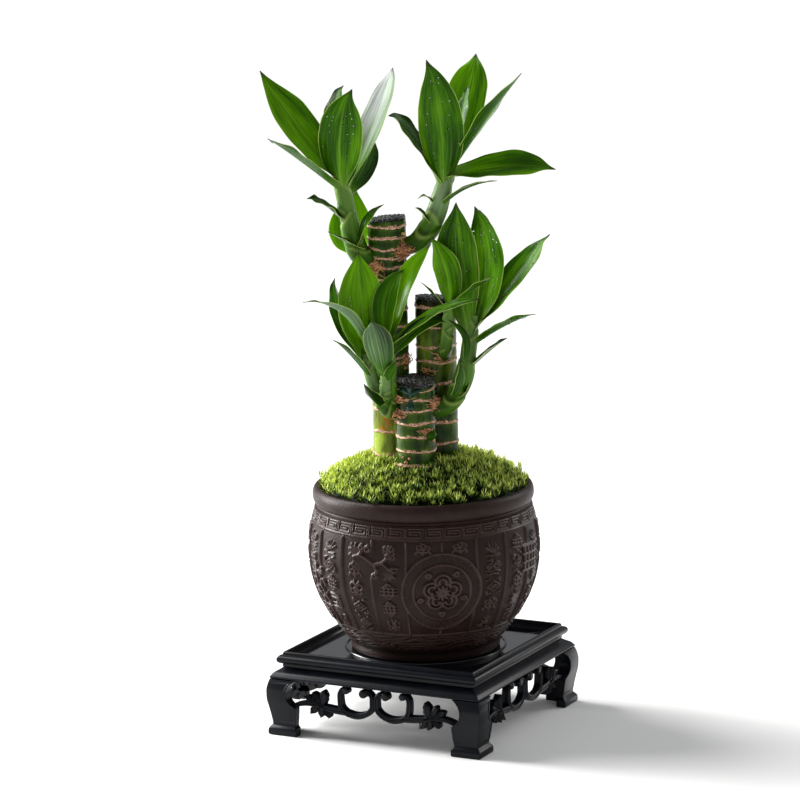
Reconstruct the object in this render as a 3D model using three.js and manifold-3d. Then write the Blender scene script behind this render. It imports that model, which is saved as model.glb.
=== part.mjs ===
// Lucky bamboo in a dark clay pot on a black footed stand.
// Millimetres, +Z up. The origin lies on the surface, in the middle of the stand's four feet.
// X and Y run along the stand's sides. The pot and the plant are turned on it, with their front
// facing the stand's front corner.

import * as THREE from "three";
import { mergeVertices } from "three/addons/utils/BufferGeometryUtils.js";
import Module from "manifold-3d";

const wasm = await Module();
wasm.setup();

// Driving dimensions

const FIT_GAP = 0.3; // air between two pieces that touch
const PLANT_TURN = THREE.MathUtils.degToRad(26.8); // the plant's front, turned from the stand's front
const POT_SHIFT = 1.5; // the pot stands this far right of the stand's middle, seen from the front

const STAND = {
  shoulder: 84.2, // half side across the sloping rail
  waist: 76.9, // half side of the plain band under the tray
  panelTop: 55.8, // height of the tray's floor
  railBottom: 42,
  fretFront: 83,
  fretDepth: 6,
};

const POT = {
  rimTop: 177.5,
  rimRadius: 80.7,
  mouthRadius: 73.8,
  bellyRadius: 83.6,
  footRadius: 54.5,
  sides: 36,
};

// Main forms of the pot's pressed relief: ribs from the waves up to the key band, and two medallions
const RELIEF = { height: 0.9, sunk: 1.2, halfWidth: 1.9 };
const RIBS = { count: 20, first: THREE.MathUtils.degToRad(8.6), bottom: 79.6, top: 151 };
const MEDALLION = { centreHeight: 114.5, inner: 21, outer: 29, steps: 20 };

const SOIL = { edgeRadius: 72.9, edgeHeight: 169.5, mound: 21.3, rearSlope: 0.06 };
const MOSS = { thickness: 7.2, lump: 1.1, rings: 6 };
const MOUND_SHARES = [1, 0.85, 0.65, 0.4, 0]; // of the radius, where the mound's slope changes
const MOUND_SIDES = 24;

const SCAR = { height: 0.7, halfWidth: 1.1 }; // raised leaf-scar ring round a cane
const CANE_SIDES = 12;
const CANE_BOTTOM = 112; // height of the canes' lower ends, inside the soil
const SEAL_THICKNESS = 2.2;

const BLADE_THICKNESS = 0.84;
const STEM_SIDES = 8;

const CANES = {
  tall: {
    foot: [-21.5, 6],
    head: [-23, 6],
    radius: 14,
    top: 370.5,
    slope: [0.1, -0.04],
    scars: [200, 217, 233, 249, 267, 271.5, 284, 294, 305.5, 315.5, 329.5, 337, 344.5, 351, 358.5, 366.5],
  },
  middle: {
    foot: [11.8, 7],
    head: [11.2, 7],
    radius: 15,
    top: 311.5,
    slope: [-0.06, -0.05],
    scars: [207, 222.5, 237, 251.5, 267.5, 278.5, 293, 307.5],
  },
  short: {
    foot: [-4.6, -20],
    head: [-4.4, -20],
    radius: 14.4,
    top: 255.5,
    slope: [0.02, 0.16],
    scars: [196, 207, 217.5, 227.5, 236.5, 244.5, 252.5],
  },
};

// Shoots: each has one or more stems (points and radii) and its leaves. A leaf is given by three
// points of its midrib (root, middle, tip), its width, the way its upper face looks, and its fold,
// the angle in degrees that each half is lifted from flat.
// All of them are in the pot's frame: x to the right, y away from the front, z up.

const leaf = (root, mid, tip, shape) => ({ root, mid, tip, ...shape });

const SHOOTS = {
  shoot_tall_left: {
    cane: "tall",
    stems: [
      {
        points: [[-30, 5, 338], [-41, 1, 345], [-47, -1, 358], [-50, -2, 372], [-53, -2, 388], [-58, 0, 412]],
        radii: [8, 8.4, 7.4, 6.6, 6, 3],
      },
    ],
    leaves: [
      leaf([-57, -1, 402], [-85, 3, 440], [-113, 15, 479], { width: 28, face: [0.4, -0.9, 0.3], fold: 20 }),
      leaf([-55, -5, 393], [-85, -18, 419], [-106, -30, 436], { width: 19, face: [0.45, 0.25, 0.85], fold: 30 }),
      leaf([-54, -5, 393], [-55, -20, 435], [-47, -24, 470], { width: 33, face: [0.1, 1, 0.1], fold: 16 }),
      leaf([-57, 1, 408], [-59, 18, 444], [-54, 32, 466], { width: 20, face: [-0.6, -0.8, 0], fold: 18 }),
      leaf([-52, 0, 392], [-29, 10, 445], [-16, 24, 479], { width: 23, face: [-0.6, -0.7, 0.3], fold: 18 }),
      leaf([-51, 2, 390], [-38, 17, 409], [-31, 32, 426], { width: 17, face: [0.3, 0.9, 0.3], fold: 20 }),
      leaf([-51, -3, 368], [-67, -12, 385], [-79, -20, 391], { width: 13, face: [0.2, -0.3, 0.9], fold: 22 }),
      leaf([-45, 5, 341], [-49, 31, 360], [-44, 46, 388], { width: 33, face: [0, -0.75, 0.65], fold: 14 }),
      leaf([-40, -5, 350], [-52, -13, 358], [-65, -20, 367], { width: 9, face: [0.1, -0.2, 1], fold: 24 }),
      leaf([-43, -5, 352], [-37, -14, 372], [-25, -18, 386], { width: 11, face: [-0.8, -0.4, 0.4], fold: 24 }),
    ],
  },
  shoot_tall_right: {
    cane: "tall",
    stems: [
      {
        points: [[-13, 4, 350], [-2, 3, 354], [7, 1, 364], [13, 0, 377], [18, -1, 393], [26, -1, 415]],
        radii: [6.5, 7.6, 8.2, 7.2, 5.8, 3],
      },
    ],
    leaves: [
      leaf([16, -3, 396], [-4, -14, 434], [-20, -25, 452], { width: 18, face: [0.5, -0.5, 0.7], fold: 20 }),
      leaf([18, -4, 392], [17, -18, 442], [9, -24, 490], { width: 33, face: [0, 1, 0.1], fold: 16 }),
      leaf([25, 1, 410], [36, 18, 456], [44, 38, 486], { width: 30, face: [-0.2, -1, 0.2], fold: 14 }),
      leaf([25, -1, 410], [33, 6, 447], [38, 12, 466], { width: 12, face: [-0.7, -0.7, 0], fold: 24 }),
      leaf([23, -2, 404], [50, -12, 445], [75, -26, 480], { width: 22, face: [-0.6, 0.4, 0.65], fold: 20 }),
      leaf([22, -3, 402], [64, -20, 412], [97, -38, 411], { width: 25, face: [0, -0.68, 0.73], fold: 18 }),
      leaf([16, -4, 380], [34, -14, 395], [56, -24, 402], { width: 13, face: [-0.3, 0.1, 0.95], fold: 24 }),
      leaf([12, -3, 382], [6, -7, 389], [0, -9, 388], { width: 6, face: [0.1, 0, 1], fold: 20 }),
      leaf([8, -4, 367], [3, -9, 377], [-2, -11, 382], { width: 7, face: [0.5, -0.3, 0.8], fold: 20 }),
    ],
  },
  shoot_middle_front: {
    cane: "middle",
    stems: [
      { points: [[17, -3, 272], [18, -13, 281], [20, -16, 296], [20, -18, 312]], radii: [5.5, 5, 4.6, 3.2] },
    ],
    leaves: [
      leaf([20, -17, 306], [20, -23, 334], [9, -20, 362], { width: 24, face: [0.1, 1, 0.1], fold: 40 }),
      leaf([20, -18, 308], [38, -27, 324], [53, -36, 335], { width: 11, face: [0, 0.1, 1], fold: 22 }),
      leaf([19, -18, 307], [9, -24, 321], [1, -30, 331], { width: 7, face: [0.3, 0, 0.9], fold: 20 }),
    ],
  },
  shoot_short_right: {
    cane: "short",
    stems: [
      {
        points: [[6, -20, 235], [17, -21, 238], [27, -18, 250], [33, -13, 267], [36, -10, 285], [39, -8, 302]],
        radii: [6.2, 7, 7.4, 6.4, 5.6, 3.2],
      },
    ],
    leaves: [
      leaf([35, -12, 287], [27, -12, 342], [29, -12, 385], { width: 31, face: [0.05, 1, 0], fold: 8 }),
      leaf([37, -9, 288], [48, 6, 336], [41, 16, 378], { width: 34, face: [-0.5, -0.85, 0.1], fold: 14 }),
      leaf([38, -7, 296], [45, 22, 344], [46, 40, 372], { width: 20, face: [0, -0.8, 0.5], fold: 20 }),
      leaf([38, -8, 290], [69, -2, 328], [93, 8, 359], { width: 24, face: [-0.6, -0.6, 0.5], fold: 22 }),
      leaf([36, -11, 279], [60, -21, 296], [82, -32, 307], { width: 16, face: [-0.1, 0.3, 0.95], fold: 24 }),
      leaf([33, -14, 262], [49, -23, 278], [62, -34, 290], { width: 14, face: [-0.4, -0.1, 0.9], fold: 22 }),
      leaf([29, -18, 264], [32, -24, 288], [19, -25, 302], { width: 6, face: [0.3, -0.9, 0.3], fold: 20 }),
      leaf([25, -20, 244], [31, -25, 249], [34, -26, 256], { width: 8, face: [-0.5, -0.3, 0.8], fold: 20 }),
      leaf([20, -21, 241], [30, -27, 256], [27, -22, 273], { width: 14, face: [-0.8, 0.6, 0.2], fold: 34 }),
    ],
  },
  shoot_short_left: {
    cane: "short",
    stems: [
      {
        points: [[-14, -21, 232], [-23, -22, 236], [-30, -22, 246], [-35, -22, 258], [-40, -21, 278]],
        radii: [5.6, 6.4, 5.6, 4.8, 3.4],
      },
      { points: [[-24, -21, 239], [-26, -27, 249], [-26, -30, 264]], radii: [4.2, 4.6, 3.8] },
      {
        points: [[-20, -20, 236], [-22, -25, 256], [-22, -23, 274], [-23, -22, 290]],
        radii: [4.4, 4.7, 4.1, 3],
      },
    ],
    leaves: [
      leaf([-39, -20, 273], [-42, -15, 312], [-44, -13, 351], { width: 35, face: [0.05, -1, 0.1], fold: 12 }),
      leaf([-37, -23, 273], [-54, -31, 308], [-84, -44, 321], { width: 18, face: [0.3, 0.35, 0.9], fold: 22 }),
      leaf([-23, -22, 284], [-23, -20, 315], [-12, -18, 339], { width: 23, face: [-0.5, -0.8, 0.3], fold: 34 }),
      leaf([-22, -22, 280], [-12, -18, 324], [9, -17, 356], { width: 19, face: [-0.5, -0.75, 0.4], fold: 22 }),
      leaf([-26, -30, 258], [-31, -38, 287], [-35, -40, 305], { width: 23, face: [0.1, 1, 0.3], fold: 26 }),
      leaf([-39, -20, 272], [-57, -8, 303], [-63, 6, 329], { width: 14, face: [-0.3, -0.95, 0], fold: 18 }),
      leaf([-34, -23, 255], [-49, -31, 277], [-63, -42, 293], { width: 13, face: [0.3, 0.2, 0.9], fold: 22 }),
      leaf([-26, -30, 256], [-22, -35, 266], [-18, -33, 274], { width: 9, face: [-0.3, 0.9, 0.2], fold: 34 }),
      leaf([-26, -24, 237], [-35, -31, 246], [-41, -36, 259], { width: 14, face: [0.6, 0.75, 0.3], fold: 34 }),
      leaf([-23, -24, 280], [7, -37, 307], [43, -48, 321], { width: 15, face: [-0.25, -0.35, 0.9], fold: 20 }),
      leaf([-23, -25, 274], [-1, -34, 298], [18, -40, 304], { width: 13, face: [-0.1, -0.1, 1], fold: 22 }),
    ],
  },
};

// Share of a leaf's half width, and of its fold, along its length from root to tip

const BLADE_OUTLINE = [
  { along: 0, half: 0.32, fold: 1 },
  { along: 0.14, half: 0.56, fold: 1 },
  { along: 0.32, half: 0.92, fold: 1 },
  { along: 0.52, half: 1, fold: 0.9 },
  { along: 0.73, half: 0.76, fold: 0.7 },
  { along: 0.9, half: 0.32, fold: 0.4 },
  { along: 1, half: 0.05, fold: 0.1 },
];

// Materials

const finish = (color, roughness) => new THREE.MeshStandardMaterial({ color, roughness, metalness: 0 });
const LACQUER = "#15161a";
const CLAY = "#3d302e";
const LEAF = "#3c7d22";
const CANE = "#3f6226";

// Solids: a closed geometry becomes a solid, and the result a geometry again

function solidOf(geometry) {
  const bare = geometry.clone();
  bare.deleteAttribute("normal");
  bare.deleteAttribute("uv");
  const merged = mergeVertices(bare, 1e-4);
  return new wasm.Manifold(
    new wasm.Mesh({
      numProp: 3,
      vertProperties: new Float32Array(merged.attributes.position.array),
      triVerts: new Uint32Array(merged.index.array),
    }),
  );
}

function geometryOf(solid) {
  const { vertProperties, triVerts } = solid.getMesh();
  const geometry = new THREE.BufferGeometry();
  geometry.setAttribute("position", new THREE.Float32BufferAttribute(vertProperties, 3));
  geometry.setIndex([...triVerts]);
  return geometry;
}

function join(geometries) {
  return geometries.map(solidOf).reduce((sum, solid) => sum.add(solid));
}

// The largest of a solid's separate skins: loose scraps and sealed hollows are left out
function mainBody(solid) {
  return solid.decompose().reduce((best, piece) => (piece.volume() > best.volume() ? piece : best));
}

function named(name, geometry, material) {
  const mesh = new THREE.Mesh(geometry, material);
  mesh.name = name;
  return mesh;
}

// A closed skin over rings of points, all with the same count, with a fan over each end, or with
// the last ring joined to the first. Each ring runs anticlockwise when it is seen from the next one.
function loft(rings, endless = false) {
  const count = rings[0].length;
  const points = rings.flat();
  const index = [];
  for (let ring = 0; ring < rings.length - (endless ? 0 : 1); ring++) {
    const next = ((ring + 1) % rings.length) * count;
    for (let side = 0; side < count; side++) {
      const after = (side + 1) % count;
      const a = ring * count + side;
      const b = ring * count + after;
      index.push(a, b, next + after, a, next + after, next + side);
    }
  }
  const last = (rings.length - 1) * count;
  for (let side = 1; side < count - 1 && !endless; side++) {
    index.push(0, side + 1, side, last, last + side, last + side + 1);
  }
  const geometry = new THREE.BufferGeometry().setFromPoints(points);
  geometry.setIndex(index);
  return geometry;
}

// A profile of [half side, height] points carried round a square with mitred corners
function squareTurn(profile) {
  const points = profile.map(([half, height]) => new THREE.Vector2(half * Math.SQRT2, height));
  const geometry = new THREE.LatheGeometry(points, 4, Math.PI / 4);
  geometry.rotateX(Math.PI / 2);
  return geometry;
}

// A profile of [radius, height] points turned round the vertical axis
function roundTurn(profile, sides) {
  const points = profile.map(([radius, height]) => new THREE.Vector2(radius, height));
  const geometry = new THREE.LatheGeometry(points, sides);
  geometry.rotateX(Math.PI / 2);
  return geometry;
}

// Stand: tray with its lip and bead, sloping rail, four legs and four fretted aprons

function standTray() {
  const { waist, panelTop } = STAND;
  const floor = 49.7;
  const bead = [
    [78.4, 52.9],
    [79.9, 53.8],
    [80.4, 55.3],
    [79.9, 56.8],
    [78.4, 58.1],
  ];
  return squareTurn([
    [0, floor],
    [waist, floor],
    [waist, 52.6],
    ...bead,
    [77.1, 59],
    [77.1, 60.3],
    [76.4, 61],
    [74.2, 61],
    [73.5, 60.5],
    [73, panelTop],
    [0, panelTop],
  ]);
}

function standRail() {
  const { shoulder, waist, railBottom } = STAND;
  const inside = 72;
  const top = 49.4;
  return squareTurn([
    [inside, railBottom],
    [shoulder, railBottom],
    [shoulder, 44.2],
    [81.8, 45.5],
    [79.4, 46.9],
    [77.4, 48.6],
    [waist, top],
    [inside, top],
    [inside, railBottom],
  ]);
}

const LEG_TOP = STAND.railBottom - FIT_GAP;

// Outer face of a leg, [half side, height]: a full knee, a slim ankle and a hoof
const LEG_CURVE = [
  [84.9, 0],
  [85.3, 1],
  [85.2, 4.6],
  [82.9, 8],
  [83.5, 13],
  [84.9, 21],
  [86.1, 28],
  [86.2, 33],
  [85.4, 38],
  [84.2, LEG_TOP],
];

// Inner edge of a leg seen from the front, [distance from the middle, height]
const LEG_INNER_EDGE = [
  [62.4, 0],
  [62.4, 5.6],
  [63.7, 7.8],
  [62.9, 21.2],
  [67, 24.6],
  [69.4, 28],
  [70.1, 32],
  [68.8, 36.6],
  [65.2, 40.4],
  [62.8, LEG_TOP],
];
const LEG_WALL = 78; // half side of the space between the legs

// One corner of a square ring, kept where both fronts show the leg
function legAtFrontRight() {
  const ring = solidOf(squareTurn([[LEG_WALL, 0], ...LEG_CURVE, [LEG_WALL, LEG_TOP], [LEG_WALL, 0]]));
  const beyond = 100;
  const outline = new THREE.Shape([
    new THREE.Vector2(beyond, -1),
    new THREE.Vector2(beyond, beyond),
    new THREE.Vector2(LEG_INNER_EDGE.at(-1)[0], beyond),
    ...LEG_INNER_EDGE.toReversed().map(([distance, height]) => new THREE.Vector2(distance, height)),
    new THREE.Vector2(LEG_INNER_EDGE[0][0], -1),
  ]);
  const front = new THREE.ExtrudeGeometry(outline, { depth: 2 * beyond, bevelEnabled: false });
  front.rotateX(Math.PI / 2);
  front.translate(0, beyond, 0);
  const side = front.clone();
  side.rotateZ(-Math.PI / 2);
  return ring.intersect(solidOf(front)).intersect(solidOf(side));
}

// A flat band of changing width along a smooth line, cut from the fret's thickness
function band(points, widths, steps) {
  const line = new THREE.SplineCurve(points.map(([x, z]) => new THREE.Vector2(x, z)));
  const left = [];
  const right = [];
  for (let step = 0; step <= steps; step++) {
    const along = step / steps;
    const place = line.getPoint(along);
    const heading = line.getTangent(along);
    const spot = along * (widths.length - 1);
    const before = Math.min(Math.floor(spot), widths.length - 2);
    const half = THREE.MathUtils.lerp(widths[before], widths[before + 1], spot - before) / 2;
    left.push(new THREE.Vector2(place.x - heading.y * half, place.y + heading.x * half));
    right.push(new THREE.Vector2(place.x + heading.y * half, place.y - heading.x * half));
  }
  return slab(new THREE.Shape([...right, ...left.toReversed()]), 4);
}

function slab(shape, curveSegments) {
  const geometry = new THREE.ExtrudeGeometry(shape, {
    depth: STAND.fretDepth,
    bevelEnabled: false,
    curveSegments,
  });
  geometry.rotateX(Math.PI / 2);
  geometry.translate(0, STAND.fretDepth - STAND.fretFront, 0);
  return geometry;
}

// A pointed leaflet of the fret, from its root towards its tip
function leaflet([rootX, rootZ], [tipX, tipZ], width) {
  const root = new THREE.Vector2(rootX, rootZ);
  const tip = new THREE.Vector2(tipX, tipZ);
  const along = tip.clone().sub(root);
  const across = new THREE.Vector2(-along.y, along.x).setLength(width / 2);
  const at = (share, side) => root.clone().addScaledVector(along, share).addScaledVector(across, side);
  return slab(new THREE.Shape([root, at(0.35, -0.9), at(0.7, -1), tip, at(0.7, 1), at(0.35, 0.9)]), 1);
}

// Right half of the fret; the left half is its mirror image
const SCROLL = {
  line: [
    [8.6, 36.6], [5.4, 39], [1.7, 35], [1.7, 28.6], [7, 22.4], [14.5, 20.4],
    [22, 21.6], [27.4, 27.4], [27.9, 35], [25.4, 39.4], [22.4, 38],
  ],
  widths: [3.6, 3.4, 3.6, 4, 4.4, 4.8, 4.6, 4.2, 3.8, 3.4, 3.6],
  curls: [[9, 37.5, 3.2], [22.8, 38.6, 2.7]],
};
const VINE = {
  line: [[24, 22.4], [32, 22.9], [40, 24], [47, 25.6], [54, 25.6], [61, 24.4], [66.2, 22.2]],
  widths: [5, 5.2, 4.6, 4, 3.6, 3.4, 3.2],
};
const LEAFLETS = [
  [[43, 25], [41.2, 36.6], 5],
  [[45, 26], [49.8, 33.8], 4.6],
  [[47, 26], [56, 30.4], 4],
  [[41, 25], [36.8, 16.8], 4.8],
  [[44, 25], [43.4, 17], 4.6],
  [[48, 26], [51.6, 19], 4.4],
];

function fretFront() {
  const half = [band(SCROLL.line, SCROLL.widths, 11), band(VINE.line, VINE.widths, 5)];
  for (const [x, z, radius] of SCROLL.curls) {
    const curl = new THREE.CylinderGeometry(radius, radius, STAND.fretDepth, 8);
    half.push(curl.translate(x, STAND.fretDepth / 2 - STAND.fretFront, z));
  }
  for (const [root, tip, width] of LEAFLETS) {
    half.push(leaflet(root, tip, width));
  }
  const rightHalf = join(half);
  const whole = rightHalf.add(rightHalf.mirror([1, 0, 0]));
  const width = 2 * STAND.fretFront;
  const underRail = new THREE.BoxGeometry(width, width, LEG_TOP).translate(0, -STAND.fretFront, LEG_TOP / 2);
  return whole.intersect(solidOf(underRail));
}

function stand() {
  const group = new THREE.Group();
  group.add(named("stand_tray", standTray(), finish(LACQUER, 0.3)));
  group.add(named("stand_rail", standRail(), finish(LACQUER, 0.35)));
  const leg = legAtFrontRight();
  // A leg wider by the fit gap on both fronts takes the fret's ends away
  const legRoom = leg.translate([-FIT_GAP, 0, 0]).add(leg).add(leg.translate([-FIT_GAP, -FIT_GAP, 0]));
  const fret = fretFront();
  const fitted = mainBody(fret.subtract(legRoom).subtract(legRoom.mirror([1, 0, 0])));
  const places = ["front_right", "back_right", "back_left", "front_left"];
  const sides = ["front", "right", "back", "left"];
  places.forEach((place, turn) => {
    const mesh = named(`stand_leg_${place}`, geometryOf(leg), finish(LACQUER, 0.35));
    mesh.rotation.z = (turn * Math.PI) / 2;
    group.add(mesh);
  });
  sides.forEach((side, turn) => {
    const mesh = named(`stand_fret_${side}`, geometryOf(fitted), finish(LACQUER, 0.4));
    mesh.rotation.z = (turn * Math.PI) / 2;
    group.add(mesh);
  });
  return group;
}

// Pot, soil and moss

const POT_FLOOR = STAND.panelTop + FIT_GAP;
const INNER_WALL = [
  [43, 64.5],
  [66, 86],
  [77.4, 122],
  [73.4, 163],
];
const OUTER_WALL = [
  [POT.footRadius + 1, 63.5],
  [62, 72],
  [70.6, 85.5],
  [78, 99],
  [82.2, 114],
  [POT.bellyRadius, 130],
  [82.6, 150],
  [80, 162.2],
  [78.8, 163.4],
];

// Radius of the outer wall at a height
function wallRadius(height) {
  const above = OUTER_WALL.findIndex(([, z]) => z > height);
  const [[lowRadius, low], [highRadius, high]] = OUTER_WALL.slice(above - 1, above + 1);
  return THREE.MathUtils.mapLinear(height, low, high, lowRadius, highRadius);
}

// Point at a turn to the right of the pot's front and at a height, lifted off the outer wall
function onWall(turn, height, lift) {
  const radius = wallRadius(height) + lift;
  return new THREE.Vector3(radius * Math.sin(turn), -radius * Math.cos(turn), height);
}

function rib(turn, bottom, top) {
  const between = OUTER_WALL.map(([, z]) => z).filter((z) => z > bottom + 2 && z < top - 2);
  const spread = RELIEF.halfWidth / POT.bellyRadius;
  const sections = [bottom, ...between, top].map((z) => [
    onWall(turn - spread, z, -RELIEF.sunk),
    onWall(turn, z, RELIEF.height),
    onWall(turn + spread, z, -RELIEF.sunk),
  ]);
  return loft(sections);
}

// A medallion's border, a flat raised ring that follows the wall
function medallion(turn) {
  const { centreHeight, inner, outer, steps } = MEDALLION;
  const sections = Array.from({ length: steps }, (_, step) => {
    const angle = (step / steps) * 2 * Math.PI;
    const at = (reach, lift) => {
      const aside = (reach * Math.cos(angle)) / POT.bellyRadius;
      return onWall(turn + aside, centreHeight + reach * Math.sin(angle), lift);
    };
    return [
      at(inner - RELIEF.halfWidth, -RELIEF.sunk),
      at(inner, RELIEF.height),
      at(outer, RELIEF.height),
      at(outer + RELIEF.halfWidth, -RELIEF.sunk),
    ];
  });
  return loft(sections, true);
}

// Ribs all round, left out inside the medallions, which lie on the first rib and the one opposite
function potRelief() {
  const { count, first, bottom, top } = RIBS;
  const { centreHeight, outer } = MEDALLION;
  const parts = [];
  for (let order = 0; order < count; order++) {
    const turn = first + (order / count) * 2 * Math.PI;
    const past = order % (count / 2);
    const fromMedallion = Math.min(past, count / 2 - past);
    const aside = (fromMedallion / count) * 2 * Math.PI * POT.bellyRadius;
    if (aside < outer) {
      const reach = Math.sqrt(outer ** 2 - aside ** 2);
      parts.push(rib(turn, bottom, centreHeight - reach), rib(turn, centreHeight + reach, top));
    } else {
      parts.push(rib(turn, bottom, top));
    }
    if (fromMedallion === 0) {
      parts.push(medallion(turn));
    }
  }
  return join(parts);
}

function pot() {
  const { rimTop, rimRadius, mouthRadius, footRadius, sides } = POT;
  const rim = [
    [80.2, 167],
    [rimRadius, 171.5],
    [80, 175.5],
    [77.2, rimTop],
    [mouthRadius, 176.4],
  ];
  const profile = [
    [0, POT_FLOOR + 2.5],
    [46, POT_FLOOR + 2.5],
    [48, POT_FLOOR],
    [footRadius - 0.5, POT_FLOOR],
    ...OUTER_WALL,
    ...rim,
    ...INNER_WALL.toReversed(),
    [0, INNER_WALL[0][1]],
  ];
  return geometryOf(mainBody(solidOf(roundTurn(profile, sides)).add(potRelief())));
}

// Share of the mound's full height at a distance from the pot's axis: 1 in the middle, 0 at the edge
function moundShare(radius) {
  return 1 - Math.min(radius / SOIL.edgeRadius, 1) ** 2.8;
}

function soilTop(radius) {
  return SOIL.edgeHeight + SOIL.mound * moundShare(radius);
}

// The mound rises a little towards the back
function mossRise(x, y) {
  return SOIL.rearSlope * y * moundShare(Math.hypot(x, y));
}

// Raises each point of a geometry by what lift gives for it
function raised(geometry, lift) {
  const place = geometry.attributes.position;
  for (let point = 0; point < place.count; point++) {
    const [x, y, z] = [place.getX(point), place.getY(point), place.getZ(point)];
    place.setZ(point, z + lift(x, y, z));
  }
  return geometry;
}

function mossLump(x, y) {
  const wave = Math.sin(x / 7.1 + 1.3 * Math.sin(y / 9)) * Math.cos(y / 6.3 - 0.8 * Math.sin(x / 11));
  return MOSS.lump * wave;
}

// Axis of a cane at a height
function caneAxis(cane, height) {
  const share = (height - CANE_BOTTOM) / (cane.top - CANE_BOTTOM);
  return [
    THREE.MathUtils.lerp(cane.foot[0], cane.head[0], share),
    THREE.MathUtils.lerp(cane.foot[1], cane.head[1], share),
  ];
}

function caneRing(cane, height, radius, slope = [0, 0]) {
  const [x, y] = caneAxis(cane, height);
  return Array.from({ length: CANE_SIDES }, (_, side) => {
    const turn = (side / CANE_SIDES) * 2 * Math.PI;
    const dx = radius * Math.cos(turn);
    const dy = radius * Math.sin(turn);
    return new THREE.Vector3(x + dx, y + dy, height + slope[0] * dx + slope[1] * dy);
  });
}

// A cane with its raised leaf-scar rings; grow widens it to make room for it in a neighbour
function caneGeometry(cane, grow = 0) {
  const { height, halfWidth } = SCAR;
  const radius = cane.radius + grow;
  const rings = [caneRing(cane, CANE_BOTTOM - grow, radius)];
  cane.scars.forEach((scar, order) => {
    const lean = [0.03 * Math.sin(order * 2.4), 0.03 * Math.cos(order * 1.7)];
    rings.push(caneRing(cane, scar - halfWidth, radius, lean));
    rings.push(caneRing(cane, scar, radius + height, lean));
    rings.push(caneRing(cane, scar + halfWidth, radius, lean));
  });
  rings.push(caneRing(cane, cane.top + grow, radius - 0.3, cane.slope));
  return loft(rings);
}

// A plain post as wide as a cane's rings, for the hole that the cane stands in
function caneHole(cane) {
  const radius = cane.radius + SCAR.height + FIT_GAP;
  const bottom = CANE_BOTTOM - FIT_GAP;
  const aboveMoss = SOIL.edgeHeight + 2 * SOIL.mound;
  return solidOf(loft([caneRing(cane, bottom, radius), caneRing(cane, aboveMoss, radius)]));
}

function withCaneHoles(solid) {
  return Object.values(CANES).reduce((left, cane) => left.subtract(caneHole(cane)), solid);
}

function soil() {
  const slack = FIT_GAP + 0.4;
  const wall = INNER_WALL.map(([radius, height]) => [radius - slack, height]);
  wall[0][1] += FIT_GAP;
  const mound = MOUND_SHARES.map((share) => {
    const radius = share * SOIL.edgeRadius;
    return [radius, soilTop(radius)];
  });
  const body = roundTurn([[0, wall[0][1]], ...wall, ...mound], MOUND_SIDES);
  const tilted = raised(body, (x, y, z) => (z >= SOIL.edgeHeight ? mossRise(x, y) : 0));
  return geometryOf(withCaneHoles(solidOf(tilted)));
}

function moss() {
  const { thickness, rings } = MOSS;
  const edge = POT.mouthRadius - FIT_GAP - 0.2;
  const profile = MOUND_SHARES.toReversed().map((share) => {
    const radius = share * edge;
    return [radius, soilTop(radius) + FIT_GAP + 0.1];
  });
  for (let ring = rings; ring >= 0; ring--) {
    const radius = (ring / rings) * edge;
    const round = 1 - 0.25 * (radius / edge) ** 8;
    profile.push([radius, soilTop(radius) + thickness * round]);
  }
  const lumpy = raised(roundTurn(profile, MOUND_SIDES), (x, y, z) => {
    const upper = z > soilTop(Math.hypot(x, y)) + thickness / 2;
    return mossRise(x, y) + (upper ? mossLump(x, y) : 0);
  });
  return geometryOf(withCaneHoles(solidOf(lumpy)));
}

// Wax over a cane's cut top
function sealGeometry(cane) {
  const { slope, top, radius } = cane;
  return loft([
    caneRing(cane, top + FIT_GAP, radius - 0.5, slope),
    caneRing(cane, top + FIT_GAP + SEAL_THICKNESS * 0.5, radius - 0.2, slope),
    caneRing(cane, top + FIT_GAP + SEAL_THICKNESS, radius - 2.4, slope),
  ]);
}

// Shoots

const vector = ([x, y, z]) => new THREE.Vector3(x, y, z);

// A stem: round sections of changing radius along a smooth line
function stemGeometry({ points, radii }) {
  const line = new THREE.CatmullRomCurve3(points.map(vector));
  const steps = (points.length - 1) * 2;
  const rings = [];
  for (let step = 0; step <= steps; step++) {
    const along = step / steps;
    const heading = line.getTangent(along);
    const sideways = new THREE.Vector3(0, 1, 0).cross(heading).normalize();
    const depth = heading.clone().cross(sideways);
    const spot = along * (radii.length - 1);
    const before = Math.min(Math.floor(spot), radii.length - 2);
    const radius = THREE.MathUtils.lerp(radii[before], radii[before + 1], spot - before);
    const middle = line.getPoint(along);
    rings.push(
      Array.from({ length: STEM_SIDES }, (_, side) => {
        const turn = (side / STEM_SIDES) * 2 * Math.PI;
        return middle
          .clone()
          .addScaledVector(sideways, radius * Math.cos(turn))
          .addScaledVector(depth, radius * Math.sin(turn));
      }),
    );
  }
  return loft(rings);
}

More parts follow.
